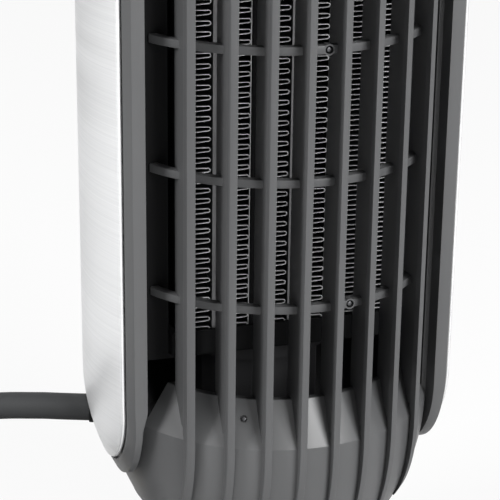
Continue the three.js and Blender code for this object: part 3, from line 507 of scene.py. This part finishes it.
def skin_edge():
    """Middle line of the skin's edge: up the left, round the back above, down the right, back below."""
    outline = [p for p in side_outline(SKIN_FRONT, SKIN_LOW, SKIN_CORNER, ROLL) if p[0] < FAR]
    fine = []
    for (y0, z0), (y1, z1) in zip(outline, outline[1:]):
        parts = max(1, round(math.hypot(y1 - y0, z1 - z0) / BEAD_PIECE))
        fine += [(y0 + (y1 - y0) * k / parts, z0 + (z1 - z0) * k / parts) for k in range(parts)]
    fine.append(outline[-1])
    left = []
    for y, z in fine:
        r = barrel_radius(SKIN_R, BARREL_ARC, BARREL_START, z) - ROLL
        left.append(Vector((-math.sqrt(r * r - y * y), y, z)))
    right = [Vector((-p.x, p.y, p.z)) for p in reversed(left)]
    return left + round_back(left[-1], right[0]) + right + round_back(right[-1], left[0])


# ---------------------------------------------------------------- silver skin
skin = meet(barrel_ring(SKIN_T), side_block(SKIN_FRONT + ROLL, SKIN_LOW + ROLL, SKIN_CORNER - ROLL))
cut(skin, inlet_room(), gland_hole(GLAND_RING + FIT))
skin = gather("brushed_skin", skin, bead("roll", skin_edge(), ROLL))
finish_piece(skin, SKIN, ["outer_skin"])

# ---------------------------------------------------------------- rear housing with the rim
HOUSING_WALL, LIP, LIP_DEPTH = 2.2, 2.5, 3
THROAT_R, THROAT_LOW, THROAT_HIGH = 37, 320, 480

housing = meet(barrel_solid(RIM_SINK), side_block(RIM_FRONT, RIM_LOW, RIM_CORNER))
skin_room = side_block(SKIN_FRONT - SKIN_GAP, SKIN_LOW - SKIN_GAP, SKIN_CORNER + SKIN_GAP)
cut(skin_room, barrel_solid(SKIN_T + FIT))
step_slab = cut(between_walls(0), side_block(FLANGE_FRONT, RIM_LOW, FLANGE_CORNER))
hollow = barrel_solid(SKIN_T + FIT + HOUSING_WALL)
meet(hollow, side_block(FLANGE_FRONT, RIM_LOW, FLANGE_CORNER, FLANGE_T))
mouth_back = FLANGE_FRONT + FLANGE_T + LIP_DEPTH
mouth = block(-FLANGE_X, FLANGE_X, -FAR, mouth_back, RIM_LOW + LIP, up(RIM_LOW + LIP))
throat_profile = [(0, THROAT_LOW), (THROAT_R, THROAT_LOW), (THROAT_R, THROAT_HIGH), (0, THROAT_HIGH)]
throat = lathe("throat", throat_profile, 96, closed=False)
cut(housing, skin_room, step_slab, hollow, mouth, inlet_room(), throat, gland_hole(GLAND_BODY + FIT))
bevel(housing, width=0.5, segments=3, angle=40)
housing.name = "housing_shell"
finish_piece(housing, BLACK, ["rear_housing"], angle=25)

# ---------------------------------------------------------------- front grille
RIBS, RIB_R, RIB_T, RIB_DEPTH, RIB_ARC, RIB_START, RIB_PITCH = 8, 57.7, 2.2, 14.3, 66, 94, 11
RIB_HEEL = 98
BOWL_R, BOWL_ARC, BOWL_START, BOWL_LOW, BOWL_WALL = 55.0, 72, 92, 58.6, 2
SEAT_DEPTH = 1
LEDGE_FOOT, LEDGE_TOP, LEDGE_R = 94.2, 108.5, 47.9
BARS, BAR_R, BAR_Y, BAR_T, BAR_H, BAR_PITCH = 6, 52.1, 0.6, 3, 2.6, 41.14
BAR_END, BAR_SLANT, BAR_STEPS = 46.4, 1.5, 64

bowl_side = []
for z in barrel_heights(BOWL_START, BOWL_LOW)[:BARREL_STEPS + 1]:
    bowl_side.append((barrel_radius(BOWL_R, BOWL_ARC, BOWL_START, z), z))
# The sloping floor has a small soft edge at its foot and at its top.
ledge = [
    (BOWL_R, LEDGE_FOOT - 0.1),
    (BOWL_R - 0.08, LEDGE_FOOT + 0.1),
    (LEDGE_R + 0.08, LEDGE_TOP - 0.16),
    (LEDGE_R - 0.14, LEDGE_TOP),
    (LEDGE_R - BOWL_WALL, LEDGE_TOP),
    (BOWL_R - BOWL_WALL, LEDGE_FOOT - BOWL_WALL),
]
bowl_profile = bowl_side + ledge + [(r - BOWL_WALL, z) for r, z in reversed(bowl_side)]


def bowl(flip):
    """Bowl at one end of the outlet, trimmed to the housing's flange and rim."""
    obj = lathe("bowl", [(r, up(z) if flip else z) for r, z in bowl_profile], 200)
    behind = side_block(FLANGE_FRONT - FIT, RIM_LOW - FIT, FLANGE_CORNER + FIT)
    beside = cut(side_block(RIM_FRONT - FIT, RIM_LOW - FIT, RIM_CORNER + FIT), between_walls(FIT))
    return cut(obj, behind, beside)


def rib_side(x):
    """Outline of a rib's side: the curved front, and a back that steps in behind the ledges."""
    heights = barrel_heights(RIB_START, BOWL_LOW)
    n = len(heights) // 2
    front, seat = [], []
    for z in heights:
        rib_r = barrel_radius(RIB_R, RIB_ARC, RIB_START, z)
        seat_r = barrel_radius(BOWL_R, BOWL_ARC, BOWL_START, z) - SEAT_DEPTH
        front.append((-math.sqrt(rib_r**2 - x * x), z))
        seat.append((-math.sqrt(seat_r**2 - x * x), z))
    seat_y = seat[n - 1][0]
    back = RIB_DEPTH - math.sqrt(RIB_R**2 - x * x)
    inner = [(seat_y, RIB_HEEL), (back, RIB_HEEL), (back, up(RIB_HEEL)), (seat_y, up(RIB_HEEL))]
    front = [p for p, s in zip(front, seat) if p[0] < s[0]]
    return front + seat[n:][::-1] + inner[::-1] + seat[:n][::-1]


def rib(x):
    sides = (x - RIB_T / 2, x + RIB_T / 2)
    return bevel(lofted([(side, rib_side(side)) for side in sides]), width=0.18, angle=60)


def bar(top):
    """Cross bar that follows the round front, with slanted ends."""
    sides = []
    for end, radius in ((BAR_END, BAR_R), (BAR_END - BAR_SLANT, BAR_R - BAR_T)):
        half = math.asin(end / radius)
        sides.append(arc(0, BAR_Y, radius, -math.pi / 2 - half, -math.pi / 2 + half, BAR_STEPS))
    outer, inner = sides
    return bevel(prism("bar", outer + inner[::-1], "z", top - BAR_H, top), width=0.2, angle=60)


bar_tops = [MID + BAR_H / 2 + (i - (BARS - 1) / 2) * BAR_PITCH for i in range(BARS)]
grille_parts = [rib((i - (RIBS - 1) / 2) * RIB_PITCH) for i in range(RIBS)]
bars = [bar(top) for top in bar_tops]

# ---------------------------------------------------------------- bosses and recessed screws
BOSS_R, BOSS_LENGTH, BOSS_PROUD = 1.75, 2.6, 0.05
HOLE_R, HOLE_LENGTH = 1.25, 1.9
BAR_SCREWS = [(1.5, 2), (11, 0), (-11, 5)]
BACKWARDS = Vector((0, 1, 0))
FLOOR_X, FLOOR_SHARE = -22, 0.6


def screw_hole(place, aim):
    """Recess along the aim, from 1 mm outside the place."""
    return rod("hole", Vector(place) - aim, aim, HOLE_R, HOLE_LENGTH)


screws = []
for x, number in BAR_SCREWS:
    front = BAR_Y - math.sqrt(BAR_R**2 - x * x) - BOSS_PROUD
    place = (x, front, bar_tops[number] - BAR_H / 2)
    boss = rod("boss", place, BACKWARDS, BOSS_R, BOSS_LENGTH)
    grille_parts.append(cut(boss, screw_hole(place, BACKWARDS)))
    cut(bars[number], screw_hole(place, BACKWARDS))
    screws.append((place, BACKWARDS))
grille_parts += bars

# One more screw stands square on the sloping floor of each bowl.
floor_run, floor_rise = BOWL_R - LEDGE_R, LEDGE_TOP - LEDGE_FOOT
spot_r = BOWL_R - floor_run * FLOOR_SHARE
spot_y = -math.sqrt(spot_r**2 - FLOOR_X**2)
spot_z = LEDGE_FOOT + floor_rise * FLOOR_SHARE
outward = Vector((FLOOR_X / spot_r, spot_y / spot_r, 0))
for node, flip in (("bowl_lower", False), ("bowl_upper", True)):
    inward = Vector((0, 0, floor_run if flip else -floor_run))
    aim = (outward * -floor_rise + inward).normalized()
    place = (FLOOR_X, spot_y, up(spot_z) if flip else spot_z)
    screws.append((place, aim))
    shroud = cut(bowl(flip), screw_hole(place, aim))
    shroud.name = node + "_shroud"
    finish_piece(shroud, BLACK, [node], angle=12)
grille = gather("grille_moulding", *grille_parts)
finish_piece(grille, GRILLE, ["front_grille"], angle=28)

HEAD = [(0, 0.2), (0.45, 0.22), (0.7, 0.32), (0.82, 0.55), (0.82, 0.95), (0, 0.95)]
HEAD_SINK = 0.05
CROSS_HALF, CROSS_REACH, CROSS_DEPTH = 0.12, 0.55, 0.5


def screw(index, place, aim):
    """Small pan head in its recess, with a cross."""
    head = lathe("screw", HEAD, 32, closed=False)
    slots = []
    for a, b in ((CROSS_HALF, CROSS_REACH), (CROSS_REACH, CROSS_HALF)):
        slots.append(block(-a, a, -b, b, -CROSS_DEPTH, CROSS_DEPTH))
    cut(head, gather("cross", *slots))
    head.data.transform(Matrix.Translation((Vector(place) - aim * HEAD_SINK) * MM) @ turned_to(aim))
    head.name = "recessed_screw_%d" % index
    finish_piece(head, SCREW, ["grille_screw_%d" % index])


for number, (place, aim) in enumerate(screws, 1):
    screw(number, place, aim)

# ---------------------------------------------------------------- heating core
CORE_DEPTH, CORE_LOW, STRIPS, STRIP_PITCH, FIN_W = 12, 123, 6, 12.8, 10.8
PERIOD, SHEET, BEND, BEND_STEPS = 3.3, 0.22, 0.62, 6
FOLD_GAP = 0.25
SIDE_OUT, SIDE_HALF, SIDE_FRONT, SIDE_END = 0.05, 0.12, 0.1, 0.3
BOTH_SIDES = (1, 3)


def fold_run(centre, half, low, folds, rise):
    """Middle line of the folded sheet: slanted legs joined by round bends at both sides."""
    reach, run = half - BEND, []
    lean = math.atan2(rise, 2 * reach)
    for i in range(2 * folds + 1):
        side = 1 if i % 2 else -1
        z = low + rise * i
        for k in range(BEND_STEPS + 1):
            a = -math.pi / 2 + lean * 0.5 + (math.pi - lean) * k / BEND_STEPS
            run.append((centre + side * (reach + BEND * math.cos(a)), z + BEND * math.sin(a)))
    return run


def ribbon(name, run, thickness, front, depth):
    """Sheet of even thickness along a line in the x-z plane, reaching back from the front."""
    verts, faces = [], []
    for i, (x, z) in enumerate(run):
        x0, z0 = run[max(i - 1, 0)]
        x1, z1 = run[min(i + 1, len(run) - 1)]
        size = math.hypot(x1 - x0, z1 - z0) or 1
        nx, nz = -(z1 - z0) / size * thickness / 2, (x1 - x0) / size * thickness / 2
        for sign in (1, -1):
            verts.append((x + sign * nx, front, z + sign * nz))
            verts.append((x + sign * nx, front + depth, z + sign * nz))
    for i in range(len(run) - 1):
        a, b = 4 * i, 4 * i + 4
        faces += [[a, b, b + 1, a + 1], [a + 2, a + 3, b + 3, b + 2]]
        faces += [[a, a + 2, b + 2, b], [a + 1, b + 1, b + 3, a + 3]]
    last = 4 * (len(run) - 1)
    faces += [[0, 1, 3, 2], [last, last + 2, last + 3, last + 1]]
    return from_points(name, verts, faces)


def fins(index):
    """One strip: the folded sheet with a thin side sheet on its left, and for some on both sides."""
    centre = (index - (STRIPS - 1) / 2) * STRIP_PITCH
    height = up(CORE_LOW) - CORE_LOW
    folds = int(height / PERIOD) - 1
    rise = (height - 4 * BEND) / (2 * folds)
    half = FIN_W / 2 - SHEET
    run = fold_run(centre, half - FOLD_GAP, CORE_LOW + 2 * BEND, folds, rise)
    parts = [ribbon("folds", run, SHEET, CORE_FRONT, CORE_DEPTH)]
    low, high = CORE_LOW + SIDE_END, up(CORE_LOW) - SIDE_END
    for side in (-1, 1) if index in BOTH_SIDES else (-1,):
        x = centre + side * (half + SIDE_OUT)
        x0, x1 = x - SIDE_HALF, x + SIDE_HALF
        sheet = block(x0, x1, CORE_FRONT + SIDE_FRONT, CORE_FRONT + CORE_DEPTH, low, high)
        parts.append(bevel(sheet, width=0.05, segments=1))
    obj = gather("folded_fins_%d" % (index + 1), *parts)
    finish_piece(obj, FINS, ["fin_strip_%d" % (index + 1)], angle=40)


for i in range(STRIPS):
    fins(i)

# ---------------------------------------------------------------- top cap, knobs and lens
CAP_LOW, CAP_TOP, CAP_RIM, CAP_WALL = 428.1, 435.5, 41.9, 2.2
KNOB_X, KNOB_Y, LENS_Y = 19, 3, -26
CAP_HOLE_R, CAP_HOLE_LENGTH = 3.3, 20
RING_IN, RING_OUT, RING_DEPTH, RING_ABOVE = 13.8, 14.6, 0.35, 2
UPWARDS = (0, 0, 1)

cap_outer = barrel_radius(BOWL_R, BOWL_ARC, BOWL_START, up(CAP_LOW))
cap_profile = [
    (0, CAP_TOP - CAP_WALL),
    (CAP_RIM - CAP_WALL, CAP_TOP - CAP_WALL),
    (cap_outer - CAP_WALL, CAP_LOW),
    (cap_outer, CAP_LOW),
    # the round edge
    (CAP_RIM + 1.0, CAP_TOP - 1.4),
    (CAP_RIM + 0.3, CAP_TOP - 0.5),
    (CAP_RIM - 0.6, CAP_TOP),
    # the groove inside the edge
    (CAP_RIM - 1.6, CAP_TOP),
    (CAP_RIM - 1.9, CAP_TOP - 0.5),
    (CAP_RIM - 2.4, CAP_TOP - 0.5),
    (CAP_RIM - 2.7, CAP_TOP),
    (0, CAP_TOP),
]
cap = lathe("cap", cap_profile, closed=False)
ring_low, ring_high = CAP_TOP - RING_DEPTH, CAP_TOP + RING_ABOVE
ring_profile = [(RING_IN, ring_low), (RING_OUT, ring_low), (RING_OUT, ring_high), (RING_IN, ring_high)]
for x in (-KNOB_X, KNOB_X):
    cut(cap, rod("hole", (x, KNOB_Y, CAP_LOW), UPWARDS, CAP_HOLE_R, CAP_HOLE_LENGTH))
    cut(cap, lathe("ring", ring_profile, 96, centre=(x, KNOB_Y)))
cut(cap, rod("hole", (0, LENS_Y, CAP_LOW), UPWARDS, CAP_HOLE_R, CAP_HOLE_LENGTH))
cap.name = "control_cap"
finish_piece(cap, BLACK, ["top_cap"])

# Even dots at the four switch places, and growing dots round the thermostat.
DOT_CIRCLE, DOT_SINK, DOT_HEIGHT = 15.9, 0.05, 0.1
MODE_ANGLES, HEAT_ANGLES = (0, 45, 90, 135), range(0, 271, 30)
MODE_DOT, HEAT_DOT, HEAT_DOT_GROWTH = 0.55, 0.32, 0.045
marks = []
for side, angles in ((-1, MODE_ANGLES), (1, HEAT_ANGLES)):
    for k, angle in enumerate(angles):
        a = math.radians(-90 - angle)
        x, y = side * KNOB_X + DOT_CIRCLE * math.cos(a), KNOB_Y + DOT_CIRCLE * math.sin(a)
        size = MODE_DOT if side < 0 else HEAT_DOT + HEAT_DOT_GROWTH * k
        marks.append(rod("dot", (x, y, CAP_TOP - DOT_SINK), UPWARDS, size, DOT_HEIGHT, 24))
dots = gather("dial_marks", *marks)
finish_piece(dots, MARK)

KNOB_R, KNOB_HEIGHT, KNOB_FLUTES, FLUTE_STEPS, FLUTE_DEPTH, FLUTE_TOP = 13, 14, 12, 16, 0.45, 12.5
# Rings up the knob: [share of the radius, height]
KNOB_RINGS = [(1.0, 0.0), (1.0, 9.5), (0.985, 11.6), (0.95, 12.9), (0.88, 13.7), (0.8, 14.0), (0.62, 13.75)]
SHAFT_R, SHAFT_DEPTH, SHAFT_OVERLAP = 3, 14, 0.3
LINE_HALF, LINE_FRONT, LINE_BACK, LINE_DEPTH, LINE_SINK = 0.6, 12.3, 4.5, 0.5, 0.03


def knob(name, node, x, body):
    """Fluted knob with a rounded top edge and a light pointer line."""
    low, high = CAP_TOP + FIT, CAP_TOP + FIT + KNOB_HEIGHT
    verts, faces, loops, n = [], [], [], KNOB_FLUTES * FLUTE_STEPS
    for share, z in KNOB_RINGS:
        loop = []
        for k in range(n):
            a = 2 * math.pi * k / n
            flute = FLUTE_DEPTH * (0.5 + 0.5 * math.cos(a * KNOB_FLUTES)) if z < FLUTE_TOP else 0.0
            r = (KNOB_R - flute) * share
            loop.append(len(verts))
            verts.append((x + r * math.cos(a), KNOB_Y + r * math.sin(a), low + z))
        loops.append(loop)
    for a, b in zip(loops, loops[1:]):
        faces += [[a[k], a[(k + 1) % n], b[(k + 1) % n], b[k]] for k in range(n)]
    faces += [loops[0][::-1], loops[-1]]
    grip = from_points("knob", verts, faces)
    shaft = rod("shaft", (x, KNOB_Y, low - SHAFT_DEPTH), UPWARDS, SHAFT_R, SHAFT_DEPTH + SHAFT_OVERLAP)
    finish_piece(gather(name, grip, shaft), BLACK, [node], body, 40)
    y0, y1 = KNOB_Y - LINE_FRONT, KNOB_Y - LINE_BACK
    line = block(x - LINE_HALF, x + LINE_HALF, y0, y1, high - LINE_DEPTH, high - LINE_SINK)
    line.name = name + "_pointer"
    bevel(line, width=0.15)
    finish_piece(line, MARK, (), body)


knob("mode_dial_knob", "mode_knob", -KNOB_X, "mode_dial")
knob("heat_dial_knob", "thermostat_knob", KNOB_X, "thermostat_dial")

LENS_FOOT, LENS_SEAT = 433, 436.1
lens_profile = [(0, LENS_FOOT), (3, LENS_FOOT), (3, LENS_SEAT), (4, LENS_SEAT)]
lens_profile += [(4, 436.6), (3.4, 437.3), (2, 437.7), (0, 437.8)]
lens = lathe("lens", lens_profile, 48, closed=False, centre=(0, LENS_Y))
lens.name = "pilot_window"
finish_piece(lens, LENS, ["pilot_lens"])

# ---------------------------------------------------------------- base
NECK_R, NECK_LOW, BASE_R, SHOULDER = 40.5, 44, 68, 13
BASE_WALL, BASE_FOOT, FLARE_STEPS = 2.5, 3.2, 24
KINK_R, KINK_DROP, KINK_IN, KINK_STEP = 41.4, 7.4, 0.5, 1.2
DISH_EDGE, DISH_SWELL, DISH_STEPS = 0.4, 0.25, 5

flare = []
for i in range(FLARE_STEPS + 1):
    a = math.pi / 2 * i / FLARE_STEPS
    flare.append((BASE_R - (BASE_R - NECK_R) * math.cos(a), NECK_LOW - (NECK_LOW - SHOULDER) * math.sin(a)))
dish_top = BOWL_LOW - FIT
dish_r = barrel_radius(BOWL_R, BOWL_ARC, BOWL_START, dish_top)
kink = dish_top - KINK_DROP
dish = []
for i in range(1, DISH_STEPS):
    r = dish_r + (KINK_R - dish_r) * i / DISH_STEPS + DISH_SWELL * math.sin(math.pi * i / DISH_STEPS)
    dish.append((r, dish_top - DISH_EDGE + (kink - dish_top + DISH_EDGE) * i / DISH_STEPS))
shell = (
    [(0, dish_top), (dish_r - DISH_EDGE, dish_top), (dish_r, dish_top - DISH_EDGE)]
    + dish
    + [(KINK_R, kink), (KINK_R - KINK_IN, kink - KINK_STEP)]
    + flare[1:-3]
    # the round shoulder and the foot
    + [(BASE_R - 2.2, SHOULDER + 0.12), (BASE_R - 0.9, SHOULDER - 0.3)]
    + [(BASE_R - 0.2, SHOULDER - 1.1), (BASE_R, SHOULDER - 2.2)]
    + [(BASE_R, 3.9), (BASE_R - 0.5, BASE_FOOT), (BASE_R - BASE_WALL, BASE_FOOT)]
    # the inside
    + [(r - BASE_WALL, z - BASE_WALL) for r, z in reversed(flare)]
    + [(KINK_R - BASE_WALL, kink), (KINK_R - BASE_WALL, dish_top - BASE_WALL), (0, dish_top - BASE_WALL)]
)
base = lathe("pedestal", shell, closed=False)
base.name = "pedestal"
finish_piece(base, BLACK, ["base_cover"])

# ---------------------------------------------------------------- rear inlet
INLET_WALL = 2
SLOT_ROWS, ROW_PITCH, SLOT_COLUMNS, COLUMN_PITCH = 3, 78, 7, 8.4
SLOT_HALF, SLOT_R, SLOT_FRONT = 35, 2.2, 20

inlet_x, inlet_low = INLET_X - FIT, INLET_LOW + FIT
inlet = meet(barrel_ring(INLET_WALL), block(-inlet_x, inlet_x, 0, FAR, inlet_low, up(INLET_LOW) - FIT))
slots = []
for row in range(SLOT_ROWS):
    z = MID + (row - SLOT_ROWS // 2) * ROW_PITCH
    for column in range(SLOT_COLUMNS):
        x = (column - SLOT_COLUMNS // 2) * COLUMN_PITCH
        above = arc(x, z + SLOT_HALF - SLOT_R, SLOT_R, 0, math.pi, 8)
        below = arc(x, z - SLOT_HALF + SLOT_R, SLOT_R, math.pi, 2 * math.pi, 8)
        slots.append(prism("slot", above + below, "y", SLOT_FRONT, FAR))
cut(inlet, gather("slots", *slots))
bevel(inlet, width=0.3, angle=50)
inlet.name = "inlet_moulding"
finish_piece(inlet, BLACK, ["inlet_grille"])

# ---------------------------------------------------------------- cord and coil
CORD_R, CORD_ROUNDNESS = 4.6, 6
COIL_C = Vector((-218, -35, 0))
COIL_OUT, COIL_IN, LAYERS, LAYER_H, COIL_PITCH, COIL_START = 53.65, 42, 4, 10, 10, 1.571
TIE_SHEET = 0.9
COIL_FLOOR = CORD_R + TIE_SHEET + 2 * FIT
CLIMB = 0.25  # of a turn, before and after each change of layer
LAYER_TURNS = (COIL_OUT - COIL_IN) / COIL_PITCH
TURNS = LAYER_TURNS * LAYERS
STEPS_A_TURN, STEPS_A_SPAN = 24, 6
GLAND_SEAT = 0.6


def coil_level(layer):
    """Layer that the cord lies on, with a smooth climb of half a turn from each to the next."""
    nearest = math.floor(layer + 0.5)
    if nearest == 0:
        return 0
    if nearest == LAYERS:
        return LAYERS - 1
    away = (layer - nearest) * LAYER_TURNS
    if abs(away) < CLIMB:
        return nearest - 1 + (1 + math.sin(2 * math.pi * away)) / 2
    return nearest - 1 + (1 if away > 0 else 0)


def coil_point(turns):
    """Middle of the cord after some turns: layers wound inwards and outwards by turns."""
    layer = turns / LAYER_TURNS
    whole = math.floor(layer)
    span = (COIL_OUT - COIL_IN) * (layer - whole)
    radius = COIL_OUT - span if whole % 2 == 0 else COIL_IN + span
    angle = COIL_START + 2 * math.pi * turns
    x, y = COIL_C.x + radius * math.cos(angle), COIL_C.y + radius * math.sin(angle)
    return Vector((x, y, COIL_FLOOR + LAYER_H * coil_level(layer)))


coil_steps = STEPS_A_TURN * round(TURNS)
coil = [coil_point(TURNS * i / coil_steps) for i in range(coil_steps + 1)]
lead_in = (coil[0] - coil[1]).normalized()
lead_out = (coil[-1] - coil[-2]).normalized()
coil_run = [coil[0] + lead_in * 2 * CORD_R] + coil + [coil[-1] + lead_out * 2 * CORD_R]

# From the gland down to the coil: [x, y, z]
ROUTE = [(-95, 20.6, 86), (-113, 23.4, 81), (-130, 24.2, 68), (-143, 23.7, 50)]
ROUTE += [(-156, 22.5, 31), (-172, 20.6, 16), (-191, 19, 8.2)]
# From the coil to the plug: [distance along the way out, z]
TAIL = [(9, 36.05), (18, 34.9), (29, 31.4), (40, 26.4), (51, 21.6), (62, 19.3), (72, 19.1)]

cord_start = GLAND + AIM * GLAND_SEAT
cord_end = coil_run[0] + lead_in * FIT
cord_path = (
    [cord_start, cord_start + AIM * 2 * CORD_R, cord_start + AIM * 4 * CORD_R]
    + [Vector(p) for p in ROUTE]
    + [cord_end + lead_in * 2 * CORD_R, cord_end + lead_in * CORD_R, cord_end]
)
tail_start = coil_run[-1] + lead_out * FIT
tail_path = [tail_start]
for distance, z in TAIL:
    p = tail_start + lead_out * distance
    tail_path.append(Vector((p.x, p.y, z)))


def centripetal(points, steps):
    """Smooth run through the points, with knots spaced by the square root of their distance."""
    ends = [points[0] * 2 - points[1]] + points + [points[-1] * 2 - points[-2]]
    out = []
    for p0, p1, p2, p3 in zip(ends, ends[1:], ends[2:], ends[3:]):
        t0 = 0.0
        t1 = t0 + math.sqrt((p1 - p0).length)
        t2 = t1 + math.sqrt((p2 - p1).length)
        t3 = t2 + math.sqrt((p3 - p2).length)
        for i in range(steps):
            t = t1 + (t2 - t1) * i / steps
            a1 = p0 * ((t1 - t) / (t1 - t0)) + p1 * ((t - t0) / (t1 - t0))
            a2 = p1 * ((t2 - t) / (t2 - t1)) + p2 * ((t - t1) / (t2 - t1))
            a3 = p2 * ((t3 - t) / (t3 - t2)) + p3 * ((t - t2) / (t3 - t2))
            b1 = a1 * ((t2 - t) / (t2 - t0)) + a2 * ((t - t0) / (t2 - t0))
            b2 = a2 * ((t3 - t) / (t3 - t1)) + a3 * ((t - t1) / (t3 - t1))
            out.append(b1 * ((t2 - t) / (t2 - t1)) + b2 * ((t - t1) / (t2 - t1)))
    return out + [points[-1]]


def cable(name, points):
    """Round sheathed cable as a poly curve."""
    data = bpy.data.curves.new(name, "CURVE")
    data.dimensions = "3D"
    spline = data.splines.new("POLY")
    spline.points.add(len(points) - 1)
    for slot_point, place in zip(spline.points, points):
        slot_point.co = (*(place * MM), 1)
    spline.use_smooth = True
    data.bevel_depth = CORD_R * MM
    data.bevel_resolution = CORD_ROUNDNESS
    data.use_fill_caps = True
    data.materials.append(RUBBER)
    obj = link(name, data)
    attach(obj, BODY)
    return obj


whole = centripetal(cord_path, STEPS_A_SPAN) + coil_run + centripetal(tail_path, STEPS_A_SPAN)
lead = cable("mains_cord", whole)
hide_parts("cord", "cord_coil", "cord_tail")

# ---------------------------------------------------------------- plug and gland
PLUG_LENGTH, GRIPS, GRIP_START, GRIP_PITCH = 50, 5, 4.4, 2.2
PIN_X, PIN_SINK = 9.5, 5
PIN = [(0, 0), (2.4, 0), (2.4, 22.4), (2.1, 23.4), (1.4, 23.9), (0, 24)]

plug_start = tail_path[-1] + lead_out * FIT
plug_profile = [(0, 0), (5.2, 0), (6.2, 1.2), (6.6, 4)]
for i in range(GRIPS):
    z = GRIP_START + GRIP_PITCH * i
    plug_profile += [(6.9, z), (6.9, z + 1.2), (5.9, z + 1.5), (5.9, z + 2.0)]
plug_profile += [(8, 16), (13.5, 17.2), (17.2, 19.2), (18.6, 22), (18.95, 26)]
plug_profile += [(18.95, 46.6), (18.5, 48.6), (17.6, 49.7), (16.6, PLUG_LENGTH), (0, PLUG_LENGTH)]
plug = lathe("plug", plug_profile, 96, closed=False)
plug.data.transform(Matrix.Translation(plug_start * MM) @ turned_to(lead_out))
plug.name = "plug_moulding"
finish_piece(plug, RUBBER, ["plug_body"])
across = lead_out.cross(Vector(UPWARDS)).normalized()
for number, sign in ((1, -1), (2, 1)):
    pin = lathe("pin", PIN, 32, closed=False)
    place = plug_start + lead_out * (PLUG_LENGTH - PIN_SINK) + across * (sign * PIN_X)
    pin.data.transform(Matrix.Translation(place * MM) @ turned_to(lead_out))
    pin.name = "contact_pin_%d" % number
    finish_piece(pin, BRASS, ["plug_pin_%d" % number])

gland_profile = [(0, -12), (GLAND_BODY, -12), (GLAND_BODY, -1.3), (GLAND_RING, -1.3), (GLAND_RING, 0.9)]
gland_profile += [(5.0, 1.15), (4.7, 1.15), (4.7, 0.4), (0, 0.4)]
gland = lathe("gland", gland_profile, 64, closed=False)
gland.data.transform(Matrix.Translation(GLAND * MM) @ turned_to(AIM))
gland.name = "gland_ring"
finish_piece(gland, DARK, ["cord_gland"])

# ---------------------------------------------------------------- materials of the CAD nodes that stay
LOOKS = {
    "rubber": RUBBER,
    "steel": STEEL,
    "brass": BRASS,
    "black_plastic": BLACK,
    "dark_plastic": DARK,
    "fin_aluminium": FINS,
    "silver_skin": SKIN,
    "clear_red": LENS,
}
NODE_LOOKS = {
    "fan_motor": MOTOR,
    "heater_bar_1": BAR_METAL,
    "heater_bar_3": BAR_METAL,
    "heater_bar_5": BAR_METAL,
}
for subpart in frame["record"]["subparts"]:
    obj = bpy.data.objects.get(subpart["node"])
    if obj is None:
        continue
    look = NODE_LOOKS.get(subpart["node"], LOOKS[subpart["material_slot"]])
    for material_slot in obj.material_slots:
        material_slot.material = look

# ---------------------------------------------------------------- floor, world and lights
FLOOR_HALF, FLOOR_GREY, FLOOR_ROUGH, FLOOR_SHINE, FLOOR_GLOW = 6000, 0.8, 0.9, 0.1, 0.9
WORLD_LIGHT = 0.12
AIM_POINT = (0, 0, 0.2)
WHITE = (1, 1, 1, 1)

corners = [(-FLOOR_HALF, -FLOOR_HALF, 0), (FLOOR_HALF, -FLOOR_HALF, 0)]
corners += [(FLOOR_HALF, FLOOR_HALF, 0), (-FLOOR_HALF, FLOOR_HALF, 0)]
floor = from_points("floor", corners, [[0, 1, 2, 3]])
white = Nodes("floor_white")
white.bsdf.inputs["Base Color"].default_value = (FLOOR_GREY, FLOOR_GREY, FLOOR_GREY, 1)
white.bsdf.inputs["Roughness"].default_value = FLOOR_ROUGH
white.bsdf.inputs["Specular IOR Level"].default_value = FLOOR_SHINE
glow = white.add("ShaderNodeEmission")
glow.inputs["Color"].default_value = WHITE
glow.inputs["Strength"].default_value = 1.0
blend = white.add("ShaderNodeMixShader")
path = white.add("ShaderNodeLightPath")
part = white.add("ShaderNodeMath")
part.operation = "MULTIPLY"
part.inputs[1].default_value = FLOOR_GLOW
white.link(path.outputs["Is Camera Ray"], part.inputs[0])
white.link(part.outputs[0], blend.inputs["Fac"])
white.link(white.bsdf.outputs["BSDF"], blend.inputs[1])
white.link(glow.outputs["Emission"], blend.inputs[2])
white.link(blend.outputs["Shader"], white.tree.nodes["Material Output"].inputs["Surface"])
paint(floor, white.mat)

# The world is white for camera, transmission and glossy rays, and a weak light for all others.
world = bpy.data.worlds.new("studio")
bpy.context.scene.world = world
world.use_nodes = True
tree = world.node_tree
background = tree.nodes["Background"]
background.inputs["Color"].default_value = WHITE
paths = tree.nodes.new("ShaderNodeLightPath")
seen = paths.outputs["Is Camera Ray"]
for ray in ("Is Transmission Ray", "Is Glossy Ray"):
    either = tree.nodes.new("ShaderNodeMath")
    either.operation = "MAXIMUM"
    tree.links.new(seen, either.inputs[0])
    tree.links.new(paths.outputs[ray], either.inputs[1])
    seen = either.outputs[0]
level = tree.nodes.new("ShaderNodeMapRange")
level.inputs["To Min"].default_value = WORLD_LIGHT
level.inputs["To Max"].default_value = 1.0
tree.links.new(seen, level.inputs["Value"])
tree.links.new(level.outputs["Result"], background.inputs["Strength"])


def softbox(name, place, size, power):
    data = bpy.data.lights.new(name, "AREA")
    data.shape = "RECTANGLE"
    data.size, data.size_y = size
    data.energy = power
    obj = link(name, data)
    obj.location = place
    obj.rotation_euler = (Vector(AIM_POINT) - Vector(place)).to_track_quat("-Z", "Y").to_euler()


softbox("key_right", place=(0.63, -1.56, 0.95), size=(0.7, 0.9), power=44)
softbox("key_left", place=(-1.6, -0.3, 1.4), size=(0.6, 0.8), power=36)
